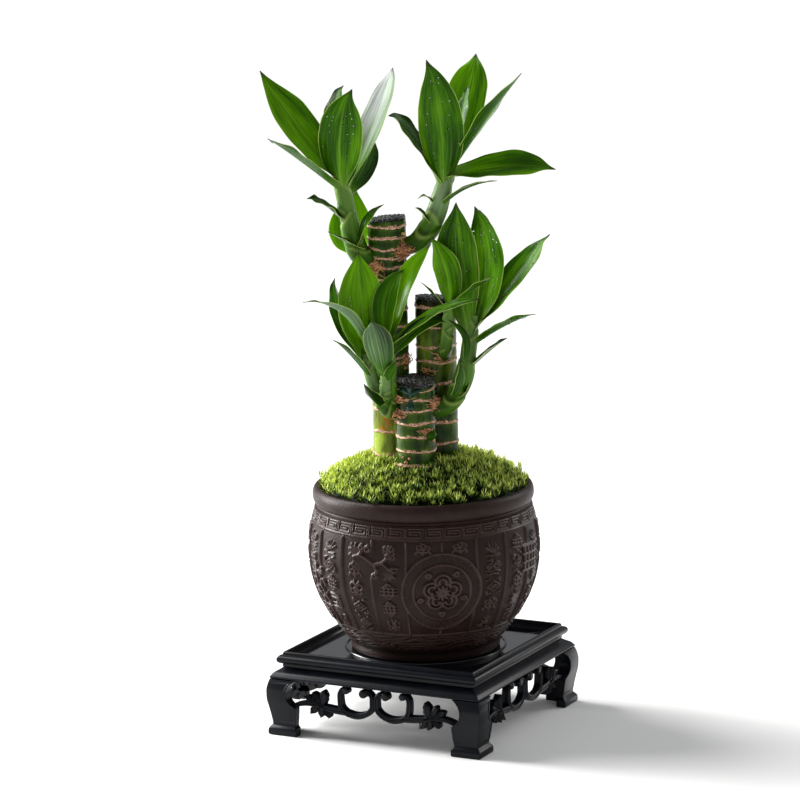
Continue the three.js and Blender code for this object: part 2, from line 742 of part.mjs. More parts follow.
// A leaf blade: a thin folded strip along a bent midrib
function bladeGeometry({ root, mid, tip, width, face, fold }) {
  const [start, middle, end] = [vector(root), vector(mid), vector(tip)];
  const handle = middle.clone().multiplyScalar(2).addScaledVector(start, -0.5).addScaledVector(end, -0.5);
  const midrib = new THREE.QuadraticBezierCurve3(start, handle, end);
  const upward = vector(face);
  const rings = BLADE_OUTLINE.map(({ along, half, fold: share }) => {
    const place = midrib.getPoint(along);
    const heading = midrib.getTangent(along);
    const right = heading.clone().cross(upward).normalize();
    const up = right.clone().cross(heading);
    const lift = THREE.MathUtils.degToRad(fold * share);
    const reach = (half * width) / 2;
    const skin = BLADE_THICKNESS / 2;
    const corner = (side, face) =>
      place
        .clone()
        .addScaledVector(right, side * (reach * Math.cos(lift) - face * skin * Math.sin(lift)))
        .addScaledVector(up, reach * Math.sin(lift) + face * skin * Math.cos(lift));
    const spine = (face) => place.clone().addScaledVector(up, (face * skin) / Math.cos(lift));
    return [corner(-1, 1), spine(1), corner(1, 1), corner(1, -1), spine(-1), corner(-1, -1)];
  });
  return loft(rings);
}

function shoot({ cane, stems, leaves }) {
  const body = join([...stems.map(stemGeometry), ...leaves.map(bladeGeometry)]);
  return geometryOf(mainBody(body.subtract(solidOf(caneGeometry(CANES[cane], FIT_GAP)))));
}

// The whole

function plantInPot() {
  const group = new THREE.Group();
  group.add(named("pot", pot(), finish(CLAY, 0.85)));
  group.add(named("soil", soil(), finish("#2b2018", 1)));
  group.add(named("moss", moss(), finish("#7fa53a", 1)));
  for (const [name, cane] of Object.entries(CANES)) {
    group.add(named(`cane_${name}`, caneGeometry(cane), finish(CANE, 0.45)));
    group.add(named(`seal_${name}`, sealGeometry(cane), finish("#1c1d1b", 0.6)));
  }
  for (const [name, spec] of Object.entries(SHOOTS)) {
    group.add(named(name, shoot(spec), finish(LEAF, 0.4)));
  }
  group.rotation.z = PLANT_TURN;
  group.position.set(POT_SHIFT * Math.cos(PLANT_TURN), POT_SHIFT * Math.sin(PLANT_TURN), 0);
  return group;
}

const part = new THREE.Group();
part.add(stand());
part.add(plantInPot());

export default part;
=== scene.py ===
"""Visual model of a lucky bamboo in a dark clay pot on a black footed stand.

Lengths are in millimetres until a mesh is made. The stand's frame is the CAD part's frame; the plant's
frame has x to the right, y away from the plant's front and z up, and is turned on the stand.
"""

import logging
import math
from abc import ABC, abstractmethod
from collections.abc import Sequence
from dataclasses import dataclass, field
from enum import Enum
from functools import cached_property

import bmesh
import bpy
import numpy as np
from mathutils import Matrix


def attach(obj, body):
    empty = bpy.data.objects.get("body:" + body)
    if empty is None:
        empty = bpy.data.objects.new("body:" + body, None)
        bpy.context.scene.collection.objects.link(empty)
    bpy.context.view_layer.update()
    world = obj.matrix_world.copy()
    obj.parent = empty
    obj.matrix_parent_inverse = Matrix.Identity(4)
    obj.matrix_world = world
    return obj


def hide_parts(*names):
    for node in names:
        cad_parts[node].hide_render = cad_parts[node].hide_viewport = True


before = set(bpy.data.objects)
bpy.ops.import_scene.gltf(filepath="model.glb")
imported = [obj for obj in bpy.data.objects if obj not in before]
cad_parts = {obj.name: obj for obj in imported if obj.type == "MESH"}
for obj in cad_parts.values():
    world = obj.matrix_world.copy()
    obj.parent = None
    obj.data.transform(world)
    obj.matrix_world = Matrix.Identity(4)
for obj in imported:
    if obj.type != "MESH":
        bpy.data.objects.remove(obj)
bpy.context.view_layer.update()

log = logging.getLogger("lucky_bamboo")

MM = 0.001
Array = np.ndarray
Point = tuple[float, float, float]
Tree = bpy.types.NodeTree
Socket = bpy.types.NodeSocket

PLANT_TURN = math.radians(26.8)  # the plant's front, turned from the stand's front
POT_SHIFT = 1.5  # the pot stands this far right of the stand's middle
TRAY_FLOOR = 55.8
POT_FLOOR = 56.1


# Colour and shader nodes


def linear(hex_colour: str) -> tuple[float, float, float, float]:
    """Turn an sRGB hex colour into linear RGBA.

    Args:
        hex_colour: six digits after a hash sign.

    Returns:
        Red, green, blue and an alpha of 1.
    """
    shares = [int(hex_colour[i : i + 2], 16) / 255 for i in (1, 3, 5)]
    red, green, blue = (s / 12.92 if s <= 0.04045 else ((s + 0.055) / 1.055) ** 2.4 for s in shares)
    return red, green, blue, 1.0


def add_node(tree: Tree, kind: str, inputs: dict | None = None, **settings: object) -> bpy.types.Node:
    """Add a shader node with its settings, constants and links.

    Args:
        tree: the material's or world's node tree.
        kind: the node's type name.
        inputs: for each socket, by name or number, a constant or the output socket that feeds it.
        settings: attributes of the node itself.

    Returns:
        The new node.
    """
    made = tree.nodes.new(kind)
    for name, value in settings.items():
        setattr(made, name, value)
    for key, value in (inputs or {}).items():
        if isinstance(value, Socket):
            tree.links.new(value, made.inputs[key])
        else:
            made.inputs[key].default_value = value
    return made


@dataclass(frozen=True)
class Finish(ABC):
    """A surface finish that makes one Blender material."""

    title: str = "Finish"

    @abstractmethod
    def shade(self, tree: Tree) -> dict:
        """Add the finish's nodes.

        Args:
            tree: the material's node tree.

        Returns:
            The principled shader's inputs.
        """

    @cached_property
    def material(self) -> bpy.types.Material:
        """The Blender material, made once.

        Returns:
            A material whose principled shader has this finish's inputs.
        """
        material = bpy.data.materials.new(self.title)
        material.use_nodes = True
        tree = material.node_tree
        tree.nodes.clear()
        shader = add_node(tree, "ShaderNodeBsdfPrincipled", self.shade(tree))
        add_node(tree, "ShaderNodeOutputMaterial", {"Surface": shader.outputs[0]})
        return material


def grain(tree: Tree, size: float, detail: float = 3.0, stretch: Point = (1, 1, 1)) -> Socket:
    """Noise on object coordinates.

    Args:
        tree: the node tree.
        size: width of one patch in millimetres.
        detail: octaves of the noise.
        stretch: scale of each axis before the noise is read.

    Returns:
        The noise's value socket, about 0.3 to 0.7.
    """
    place = add_node(tree, "ShaderNodeTexCoord").outputs["Object"]
    placed = add_node(tree, "ShaderNodeMapping", {"Vector": place, "Scale": stretch}).outputs[0]
    inputs = {"Vector": placed, "Scale": 1 / (size * MM), "Detail": detail}
    return add_node(tree, "ShaderNodeTexNoise", inputs).outputs["Fac"]


def between(tree: Tree, value: Socket, low: float, high: float,
            to_low: float = 0.0, to_high: float = 1.0) -> Socket:
    """Stretch a value from one range to another, clamped.

    Args:
        tree: the node tree.
        value: the socket that is read.
        low: value that becomes to_low.
        high: value that becomes to_high.
        to_low: result at the low end.
        to_high: result at the high end.

    Returns:
        The result's socket.
    """
    ends = {"Value": value, 1: low, 2: high, 3: to_low, 4: to_high}
    return add_node(tree, "ShaderNodeMapRange", ends).outputs[0]


def blend(tree: Tree, share: Socket, low: Socket | str, high: Socket | str) -> Socket:
    """Blend two colours.

    Args:
        tree: the node tree.
        share: value from 0 (low) to 1 (high).
        low: first colour, a hex text or a socket.
        high: second colour, a hex text or a socket.

    Returns:
        The colour's socket.
    """
    first, second = (linear(c) if isinstance(c, str) else c for c in (low, high))
    return add_node(tree, "ShaderNodeMix", {0: share, 6: first, 7: second}, data_type="RGBA").outputs[2]


def carried(tree: Tree, name: str) -> Socket:
    """The value of a piece's own point attribute."""
    return add_node(tree, "ShaderNodeAttribute", attribute_name=name).outputs["Fac"]


def bump(tree: Tree, height: Socket, depth: float) -> Socket:
    """A normal from a height value, with its depth in millimetres."""
    inputs = {"Height": height, "Strength": 1.0, "Distance": depth * MM}
    return add_node(tree, "ShaderNodeBump", inputs).outputs[0]


# Finishes


@dataclass(frozen=True)
class Lacquer(Finish):
    """Sprayed black lacquer on wood: deep blue-black and silky, with a mirror gloss where it is polished."""

    title: str = "Black lacquer, sprayed on wood"
    colour: str = "#06070b"
    paler_tone: str = "#0d0f16"

    def shade(self, tree: Tree) -> dict:
        """Near-black, with an orange-peel ripple of 1.5 mm; the polish attribute turns silk into a mirror.

        Args:
            tree: the material's node tree.

        Returns:
            The principled shader's inputs.
        """
        cloud = between(tree, grain(tree, 18, 4), 0.38, 0.64)
        polish = carried(tree, "polish")
        return {
            "Base Color": blend(tree, cloud, self.colour, self.paler_tone),
            "Roughness": between(tree, polish, 0, 1, 0.3, 0.08),
            "Specular IOR Level": between(tree, polish, 0, 1, 0.17, 1.0),
            "Normal": bump(tree, grain(tree, 1.5, 2), 0.02),
        }


@dataclass(frozen=True)
class Clay(Finish):
    """Unglazed purple-brown clay, pressed and smoothed: matt, with painted shade in the hollows; a faint
    polish and painted light on the relief.
    """

    title: str = "Unglazed brown clay, pressed"
    # The hollows' colour is painted shade and the raised colour painted light; the body colour is the clay
    # itself.
    hollow_shade: str = "#201411"
    body: str = "#2a1b18"
    raised: str = "#34221e"

    def shade(self, tree: Tree) -> dict:
        """Colour follows the relief as painted shade and light, and polish follows it too; clouds of 9 mm,
        and grit of 1.6 mm, coarser than the real one.

        Args:
            tree: the material's node tree.

        Returns:
            The principled shader's inputs.
        """
        relief = carried(tree, "relief")
        # Painted shade darkens the hollows; painted light lightens the raised relief
        body = blend(tree, between(tree, relief, -0.1, 0.12), self.hollow_shade, self.body)
        paler_tone = blend(tree, between(tree, relief, 0.15, 0.75), body, self.raised)
        cloud = between(tree, grain(tree, 9, 5), 0.35, 0.65, 0.82, 1.12)
        tinted = add_node(tree, "ShaderNodeVectorMath", {0: paler_tone, "Scale": cloud}, operation="SCALE")
        return {
            "Base Color": tinted.outputs[0],
            "Roughness": between(tree, relief, 0, 0.8, 0.46, 0.32),
            "Specular IOR Level": between(tree, relief, 0, 0.8, 0.13, 0.24),
            "Normal": bump(tree, grain(tree, 1.6, 5), 0.22),
        }


@dataclass(frozen=True)
class Grainy(Finish):
    """A stuff of two colours in grains that stand a little proud."""

    dark: str = "#000000"
    light: str = "#ffffff"
    size: float = 2.0  # of a grain, in millimetres
    detail: float = 3.0
    step: tuple[float, float] = (0.38, 0.62)  # values of the noise where a colour starts and ends
    roughness: float = 0.9
    depth: float = 0.0

    def shade(self, tree: Tree) -> dict:
        """One noise gives the colour and the height.

        Args:
            tree: the material's node tree.

        Returns:
            The principled shader's inputs.
        """
        grit = grain(tree, self.size, self.detail)
        colour = blend(tree, between(tree, grit, *self.step), self.dark, self.light)
        inputs = {"Base Color": colour, "Roughness": self.roughness}
        return inputs | {"Normal": bump(tree, grit, self.depth)} if self.depth else inputs


@dataclass(frozen=True)
class Soil(Grainy):
    """Damp potting soil under the moss: matt, dark crumbs of 2 mm."""

    title: str = "Potting soil, damp"
    dark: str = "#1a120d"
    light: str = "#3d2f22"
    detail: float = 5.0
    step: tuple[float, float] = (0.35, 0.65)
    roughness: float = 0.95
    depth: float = 0.6


@dataclass(frozen=True)
class Wax(Grainy):
    """Black sealing wax with coarse grey grit, its grey lightened to carry painted highlights: dark and
    rough, with small sparks of gloss.
    """

    title: str = "Black sealing wax, gritty"
    dark: str = "#050606"
    # grey grit, lightened as a painted highlight
    light: str = "#8a8c8a"
    size: float = 1.1
    step: tuple[float, float] = (0.55, 0.68)
    roughness: float = 0.2
    depth: float = 1.6


@dataclass(frozen=True)
class Husk(Grainy):
    """Dry root and husk fibre: matt pinkish brown with paler stretches of 2 mm."""

    title: str = "Dry husk fibre"
    dark: str = "#a5603c"
    light: str = "#f0b98a"
    roughness: float = 0.85


@dataclass(frozen=True)
class MossGreen(Finish):
    """Living moss: thin matt leaflets, with painted shade that makes them near-black at the root, and
    yellow-green tips with a painted highlight.
    """

    title: str = "Living moss"
    # near-black: painted shade at the foot of the tufts and between them
    root: str = "#050802"
    middle: str = "#557a16"
    # pale yellow-green, lightened by a painted highlight
    tip: str = "#e9f67c"

    def shade(self, tree: Tree) -> dict:
        """Colour follows the height value in the tuft, which also carries painted light and shade.

        Args:
            tree: the material's node tree.

        Returns:
            The principled shader's inputs.
        """
        height = carried(tree, "height")
        low = blend(tree, between(tree, height, 0.0, 0.5), self.root, self.middle)
        return {
            "Base Color": blend(tree, between(tree, height, 0.45, 1.0), low, self.tip),
            "Roughness": 0.6,
            "Specular IOR Level": 0.2,
        }


@dataclass(frozen=True)
class CaneBark(Finish):
    """Living cane: smooth, waxy green skin that gleams in a narrow line, and dull, pinkish, corky scars."""

    title: str = "Green cane with corky scars"
    deep: str = "#092003"
    fresh: str = "#1b4106"
    yellow: str = "#9aae3c"
    cork: str = "#ecbca2"
    cork_dark: str = "#84523c"
    rust: str = "#b4631f"
    soil: str = "#1d150d"  # dark brown on the middle cane's top, just under its cut

    def shade(self, tree: Tree) -> dict:
        """Mottled in patches of 5 mm, stretched along the cane, with a rust stain, a dark brown top and corky
        scars on top.

        Args:
            tree: the material's node tree.

        Returns:
            The principled shader's inputs.
        """
        mottle = between(tree, grain(tree, 5, 5, (1, 1, 0.3)), 0.38, 0.62)
        skin = blend(tree, mottle, self.deep, self.fresh)
        share = carried(tree, "pale")
        patches = {0: share, 1: between(tree, mottle, 0, 1, 0.4, 1.3)}
        patchy = add_node(tree, "ShaderNodeMath", patches, operation="MULTIPLY").outputs[0]
        pale = blend(tree, patchy, skin, self.yellow)
        rusty = blend(tree, carried(tree, "rust"), pale, self.rust)
        # dark brown over the middle cane's top
        soiled = blend(tree, carried(tree, "soiled"), rusty, self.soil)
        fibre = between(tree, grain(tree, 0.9, 3), 0.38, 0.62)
        cork = blend(tree, fibre, self.cork_dark, self.cork)
        scar = between(tree, carried(tree, "scar"), 0.25, 0.6)
        return {
            "Base Color": blend(tree, scar, soiled, cork),
            "Roughness": between(tree, scar, 0, 1, 0.13, 0.45),
            "Specular IOR Level": between(tree, scar, 0, 1, 0.1, 0.3),
            "Normal": bump(tree, grain(tree, 1.2, 4, (1, 1, 0.3)), 0.08),
        }


@dataclass(frozen=True)
class GreenWax(Finish):
    """Run of thick, dark green sealing wax, glossy."""

    title: str = "Green sealing wax, run"
    colour: str = "#073024"

    def shade(self, tree: Tree) -> dict:
        """Smooth dark green."""
        return {"Base Color": linear(self.colour), "Roughness": 0.08, "Specular IOR Level": 0.35}


@dataclass(frozen=True)
class LeafSkin(Finish):
    """Waxy leaf with lengthwise veins, a thin pale margin and a dry tip.

    The wax shines softly in streaks, and some leaves and stems carry streaks of near-white painted sheen; a
    low specular level keeps the green deep under a pale sky.
    """

    title: str = "Waxy leaf"
    deep: str = "#0e2603"
    mid: str = "#336403"
    bright: str = "#6dac06"
    # near-white painted sheen, and on the stems a pale bloom that is partly painted sheen
    silver: str = "#e6e8e9"
    stem: str = "#7a9f42"
    margin: str = "#b3c766"
    dry: str = "#2c2412"

    def lines(self, tree: Tree, across: float, along: float, detail: float) -> Socket:
        """Noise that is drawn out along the leaf.

        Args:
            tree: the node tree.
            across: width of one line in millimetres.
            along: length of one line in millimetres.
            detail: octaves of the noise.

        Returns:
            The noise's value socket.
        """
        place = add_node(tree, "ShaderNodeUVMap", uv_map="LeafMap").outputs[0]
        scale = (10 / across, 10 / along, 1)
        drawn = add_node(tree, "ShaderNodeMapping", {"Vector": place, "Scale": scale}).outputs[0]
        inputs = {"Vector": drawn, "Scale": 1.0, "Detail": detail}
        return add_node(tree, "ShaderNodeTexNoise", inputs).outputs["Fac"]

    def shade(self, tree: Tree) -> dict:
        """Sweeps of 8 mm and veins of 1.1 mm run along the leaf; midrib and margin follow its width.

        Args:
            tree: the material's node tree.

        Returns:
            The principled shader's inputs.
        """
        vein = self.lines(tree, 1.1, 46, 2)
        sweep = self.lines(tree, 8, 45, 2)
        shift = between(tree, sweep, 0.3, 0.7, -0.27, 0.27)
        sum_of = {0: carried(tree, "tone"), 1: shift}
        toned = add_node(tree, "ShaderNodeMath", sum_of, operation="ADD").outputs[0]
        low = blend(tree, between(tree, toned, 0.0, 0.5), self.deep, self.mid)
        green = blend(tree, between(tree, toned, 0.5, 1.0), low, self.bright)
        shaded = blend(tree, between(tree, vein, 0.5, 0.3, 0.0, 0.46), green, self.deep)
        shaded = blend(tree, between(tree, vein, 0.54, 0.72, 0.0, 0.3), shaded, self.bright)
        signed = {0: carried(tree, "across")}
        across = add_node(tree, "ShaderNodeMath", signed, operation="ABSOLUTE").outputs[0]
        ribbed = blend(tree, between(tree, across, 0.01, 0.045, 0.16, 0.0), shaded, self.margin)
        # Painted sheen: near-white in streaks along the veins, as much as the sheen value asks
        streaked = between(tree, vein, 0.36, 0.58, 0.4, 1.0)
        sheen = {0: carried(tree, "silver"), 1: streaked}
        painted_sheen_share = add_node(tree, "ShaderNodeMath", sheen, operation="MULTIPLY").outputs[0]
        silvery = blend(tree, painted_sheen_share, ribbed, self.silver)
        stemmy = blend(tree, carried(tree, "stem"), silvery, self.stem)
        edged = blend(tree, between(tree, across, 0.955, 0.985, 0.0, 0.88), stemmy, self.margin)
        seamed = blend(tree, carried(tree, "margin"), edged, self.margin)
        return {
            "Base Color": blend(tree, carried(tree, "dry"), seamed, self.dry),
            "Roughness": between(tree, sweep, 0.3, 0.7, 0.2, 0.32),
            "Specular IOR Level": 0.075,
            "Normal": bump(tree, vein, 0.2),
        }


@dataclass(frozen=True)
class Water(Finish):
    """Clear water: each drop has a bright edge and shows the leaf under it."""

    title: str = "Water"

    def shade(self, tree: Tree) -> dict:
        """Clear, with the index of water."""
        clear = linear("#ffffff")
        return {"Base Color": clear, "Roughness": 0.02, "IOR": 1.33, "Transmission Weight": 1.0}


# Meshes


NO_TRIANGLES = np.empty((0, 3), int)


def grid_faces(rows: int, columns: int, closed: bool = False) -> Array:
    """Quads over a grid of points stored row by row.

    Args:
        rows: number of rows.
        columns: number of columns.
        closed: join the last column to the first.

    Returns:
        Point numbers, four for each face.
    """
    row = np.arange(rows - 1)[:, None] * columns
    column = np.arange(columns if closed else columns - 1)[None, :]
    after = (column + 1) % columns
    quads = np.stack([row + column, row + after, row + after + columns, row + column + columns], axis=-1)
    return quads.reshape(-1, 4)


@dataclass
class Surface:
    """A mesh that grows piece by piece: points in millimetres, faces and point attributes."""

    traits: tuple[str, ...] = ()
    points: list[Array] = field(default_factory=list)
    quads: list[Array] = field(default_factory=list)
    triangles: list[Array] = field(default_factory=list)
    values: list[Array] = field(default_factory=list)
    places: list[Array] = field(default_factory=list)
    count: int = 0

    def add(self, points: Array, quads: Array, triangles: Array = NO_TRIANGLES,
            place: Array | None = None, outward: bool = True, **traits: Array | float) -> None:
        """Add points and the faces between them.

        Args:
            points: positions, in any shape that ends in three coordinates.
            quads: four point numbers for each face, counted within these points.
            triangles: three point numbers for each face.
            place: the leaf map's two coordinates for each point.
            outward: turn the faces round where they enclose a negative volume.
            traits: value of each point attribute, one number or one for each point.
        """
        points = points.reshape(-1, 3)
        if outward:
            split = np.concatenate([triangles, quads[:, :3], quads[:, [0, 2, 3]]])
            first, second, third = (points[split[:, i]] - points.mean(0) for i in range(3))
            if np.einsum("ij,ij->", first, np.cross(second, third)) < 0:
                quads, triangles = quads[:, ::-1], triangles[:, ::-1]
        self.points.append(points)
        self.quads.append(quads + self.count)
        self.triangles.append(triangles + self.count)
        values = [np.broadcast_to(np.ravel(traits.get(name, 0.0)), len(points)) for name in self.traits]
        self.values.append(np.stack(values, axis=1) if values else np.empty((len(points), 0)))
        self.places.append(np.zeros((len(points), 2)) if place is None else place.reshape(-1, 2))
        self.count += len(points)

    def shell(self, rings: Array, **traits: Array | float) -> None:
        """Add a skin over rings of points whose first and last ring close it by themselves."""
        self.add(rings, grid_faces(*rings.shape[:2], closed=True), **traits)

    def sweep(self, rings: Array, place: Array | None = None, end: float = 0.0,
              **traits: Array | float) -> None:
        """Add a skin over rings of points, closed by a pole in the middle of the first and of the last ring.

        Args:
            rings: an array of rings, points and coordinates.
            place: the leaf map's two coordinates for each point.
            end: value of the point attributes at the poles, where they are given point by point.
            traits: value of each point attribute, one number or one for each point.
        """
        rows, columns = rings.shape[:2]
        points = np.concatenate([rings.reshape(-1, 3), rings[0].mean(0)[None], rings[-1].mean(0)[None]])
        if place is not None:
            place = np.concatenate([place.reshape(-1, 2), np.zeros((2, 2))])
        whole = {name: np.append(value, [end, end]) if np.ndim(value) else value
                 for name, value in traits.items()}
        ring = np.arange(columns)
        after = (ring + 1) % columns
        last = (rows - 1) * columns
        pole = np.full(columns, rows * columns)
        first_cap = np.stack([pole, after, ring], axis=1)
        caps = np.concatenate([first_cap, np.stack([pole + 1, last + ring, last + after], axis=1)])
        self.add(points, grid_faces(rows, columns, closed=True), caps, place, **whole)

    def piece(self, name: str, finish: Finish, slot: str, replaces: Sequence[str] = (),
              on_plant: bool = True, crease: float = 40.0, welded: bool = False) -> None:
        """Make the Blender object and tell the frame about it.

        Args:
            name: the object's name.
            finish: its finish.
            slot: name of a material slot; not used.
            replaces: CAD nodes that it stands for.
            on_plant: the points are in the plant's frame and are turned onto the stand.
            crease: edges sharper than this angle in degrees stay sharp.
            welded: merge points that coincide and drop faces without area.
        """
        points = np.concatenate(self.points)
        if on_plant:
            points = onto_stand(points)
        quads = np.concatenate(self.quads)
        triangles = np.concatenate(self.triangles)
        corners = np.concatenate([quads.ravel(), triangles.ravel()]).astype(np.int32)
        totals = np.concatenate([np.full(len(quads), 4), np.full(len(triangles), 3)])
        starts = np.concatenate([[0], np.cumsum(totals)[:-1]]).astype(np.int32)
        name = name.replace(" ", "_")
        mesh = bpy.data.meshes.new(name)
        mesh.vertices.add(len(points))
        mesh.vertices.foreach_set("co", (points * MM).astype(np.float32).ravel())
        mesh.loops.add(len(corners))
        mesh.loops.foreach_set("vertex_index", corners)
        mesh.polygons.add(len(totals))
        mesh.polygons.foreach_set("loop_start", starts)
        mesh.update(calc_edges=True)
        values = np.concatenate(self.values).astype(np.float32)
        for number, trait in enumerate(self.traits):
            mesh.attributes.new(trait, "FLOAT", "POINT").data.foreach_set("value", values[:, number].copy())
        places = np.concatenate(self.places).astype(np.float32)
        mesh.uv_layers.new(name="LeafMap").data.foreach_set("uv", places[corners].ravel())
        mesh.materials.append(finish.material)
        if welded:
            weld(mesh)
        mesh.validate()
        mesh.shade_smooth()
        mesh.set_sharp_from_angle(angle=math.radians(crease))
        made = bpy.data.objects.new(name, mesh)
        bpy.context.collection.objects.link(made)
        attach(made, "root")
        if replaces:
            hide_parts(*replaces)
        log.info("%s: %d faces", name, len(mesh.polygons))


def weld(mesh: bpy.types.Mesh) -> None:
    """Merge points within a thousandth of a millimetre and drop the faces that lose their area.

    Args:
        mesh: the mesh, in metres.
    """
    work = bmesh.new()
    work.from_mesh(mesh)
    bmesh.ops.remove_doubles(work, verts=work.verts, dist=1e-6)
    bmesh.ops.dissolve_degenerate(work, edges=work.edges, dist=1e-7)
    work.to_mesh(mesh)
    work.free()


def turned(points: Array, cos: float, sin: float) -> Array:
    """Points turned about z: (x cos - y sin, x sin + y cos, z)."""
    x, y, z = (points[..., i] for i in range(3))
    return np.stack([x * cos - y * sin, x * sin + y * cos, z], axis=-1)


def quarter_turned(points: Array, turns: int) -> Array:
    """Points turned about z by a number of quarter turns."""
    angle = turns * math.pi / 2
    return turned(points, round(math.cos(angle)), round(math.sin(angle)))


def onto_stand(points: Array) -> Array:
    """Points shifted along the plant's x and turned from the plant's frame into the stand's."""
    return turned(points + [POT_SHIFT, 0, 0], math.cos(PLANT_TURN), math.sin(PLANT_TURN))


# Curves, noise and swept shapes


def smoothstep(low: float, high: float, value: Array) -> Array:
    """Rise from 0 at low to 1 at high along 3t^2 - 2t^3."""
    share = np.clip((value - low) / (high - low), 0, 1)
    return share * share * (3 - 2 * share)


def curve(knots: Sequence[tuple[float, float]] | Array, at: Array) -> Array:
    """Cubic Hermite curve through knots, with slopes that never overshoot (harmonic means).

    Args:
        knots: pairs of place and value, places rising.
        at: places to read.

    Returns:
        The value at each place.
    """
    x, y = np.asarray(knots, float).T
    step = np.diff(x)
    rise = np.diff(y) / step
    product = rise[:-1] * rise[1:]
    total = np.where(product > 0, rise[:-1] + rise[1:], 1)
    inner = np.where(product > 0, 2 * product / total, 0)
    slope = np.concatenate([[rise[0]], inner, [rise[-1]]])
    left = np.clip(np.searchsorted(x, at, side="right") - 1, 0, len(x) - 2)
    t = np.clip((at - x[left]) / step[left], 0, 1)
    return (
        (2 * t**3 - 3 * t**2 + 1) * y[left]
        + (t**3 - 2 * t**2 + t) * step[left] * slope[left]
        + (3 * t**2 - 2 * t**3) * y[left + 1]
        + (t**3 - t**2) * step[left] * slope[left + 1]
    )


def spaced(values: Sequence[float], count: int) -> Array:
    """Values on a smooth curve through evenly spaced ones."""
    return curve(list(enumerate(values)), np.linspace(0, len(values) - 1, count))


def path(knots: Sequence[Sequence[float]], count: int) -> Array:
    """Points along a smooth line through knots, each coordinate a curve of the chord length.

    Args:
        knots: points of any dimension.
        count: number of points wanted.

    Returns:
        Evenly spaced points, one row each.
    """
    knots = np.asarray(knots, float)
    lengths = np.concatenate([[0], np.cumsum(np.linalg.norm(np.diff(knots, axis=0), axis=1))])
    at = np.linspace(0, lengths[-1], count)
    return np.stack([curve(np.stack([lengths, values], axis=1), at) for values in knots.T], axis=1)


def arc(x: float, y: float, radius: float, start: float, end: float, steps: int = 10,
        grow: float = 0.0, tall: float = 1.0) -> Array:
    """Points of an arc, (x + r cos a, y + tall r sin a), or with grow of a spiral.

    Args:
        x: centre.
        y: centre.
        radius: radius r at the start.
        start: first angle in degrees.
        end: last angle in degrees.
        steps: number of points.
        grow: radius added by the end.
        tall: how much taller than wide an oval is.

    Returns:
        One row for each point.
    """
    angle = np.radians(np.linspace(start, end, steps))
    reach = radius + grow * np.linspace(0, 1, steps)
    return np.stack([x + reach * np.cos(angle), y + tall * reach * np.sin(angle)], axis=1)


NOISE_TABLE = np.random.default_rng(11).random(4096)
NOISE_PRIMES = (73856093, 19349663, 83492791)  # spread the lattice's points over the table


def noise(x: Array, y: Array, z: Array | float = 0.0) -> Array:
    """Value noise: random numbers on a unit lattice, blended with smoothstep along the three axes.

    Args:
        x: first coordinate, one patch to a unit.
        y: second coordinate.
        z: third coordinate.

    Returns:
        Values from -1 to 1.
    """
    x, y, z = np.broadcast_arrays(x, y, z)
    whole = [np.floor(c).astype(np.int64) for c in (x, y, z)]
    part = [c - w for c, w in zip((x, y, z), whole)]
    part = [p * p * (3 - 2 * p) for p in part]
    total = np.zeros(x.shape)
    for corner in range(8):
        bits = [corner & 1, corner >> 1 & 1, corner >> 2]
        key = np.zeros(x.shape, np.int64)
        weight = np.ones(x.shape)
        for place, share, bit, prime in zip(whole, part, bits, NOISE_PRIMES):
            key ^= (place + bit) * prime
            weight = weight * (share if bit else 1 - share)
        total += weight * NOISE_TABLE[key & (len(NOISE_TABLE) - 1)]
    return total * 2 - 1


def unit(vectors: Array) -> Array:
    """Vectors of length 1 in the same directions."""
    return vectors / np.linalg.norm(vectors, axis=-1, keepdims=True)


def tube(line: Array, radii: Array | float, sides: int) -> Array:
    """Rings round a line: centre + radius * (side * cos + depth * sin), side and depth square to the line.

    Args:
        line: points of the centre line.
        radii: radius at each point.
        sides: points in each ring.

    Returns:
        An array of rings, points and coordinates.
    """
    heading = unit(np.gradient(line, axis=0))
    chord = np.abs(unit(line[-1] - line[0]))
    helper = np.eye(3)[int(np.argmin(chord))]
    side = unit(np.cross(helper, heading))
    depth = np.cross(heading, side)
    turn = np.linspace(0, 2 * np.pi, sides, endpoint=False)[None, :, None]
    radii = np.broadcast_to(radii, len(line))[:, None, None]
    return line[:, None] + radii * (side[:, None] * np.cos(turn) + depth[:, None] * np.sin(turn))


def revolved(profile: Array, columns: int, turn: float = 0.0) -> Array:
    """Rings of a profile turned about z: (r cos a, r sin a, z).

    Args:
        profile: pairs of radius and height.
        columns: points in each ring.
        turn: angle of the first column in radians.

    Returns:
        An array of rings, points and coordinates.
    """
    angle = turn + np.linspace(0, 2 * np.pi, columns, endpoint=False)
    r, z = profile[:, 0, None], profile[:, 1, None]
    return np.stack([r * np.cos(angle), r * np.sin(angle), z + 0 * angle], axis=-1)


def square_turned(profile: Array, corner: float = 0.9, steps: int = 4) -> Array:
    """Rings of a profile carried round a square whose corners are arcs.

    Args:
        profile: pairs of half side and height.
        corner: radius of the corners.
        steps: points in each corner's arc.

    Returns:
        An array of rings, points and coordinates.
    """
    half, z = profile[:, 0, None, None], profile[:, 1, None, None]
    quarter = np.arange(4)[None, :, None] * np.pi / 2 - np.pi / 2
    bend = quarter + np.linspace(0, np.pi / 2, steps)[None, None, :]
    radius = np.minimum(corner, half)
    sign_x, sign_y = np.sign(np.cos(quarter + np.pi / 4)), np.sign(np.sin(quarter + np.pi / 4))
    x = sign_x * (half - radius) + radius * np.cos(bend)
    y = sign_y * (half - radius) + radius * np.sin(bend)
    return np.stack([x, y, z + 0 * x], axis=-1).reshape(len(profile), -1, 3)


# Stand


SIDES = ("front", "right", "back", "left")
CORNERS = ("front_right", "back_right", "back_left", "front_left")


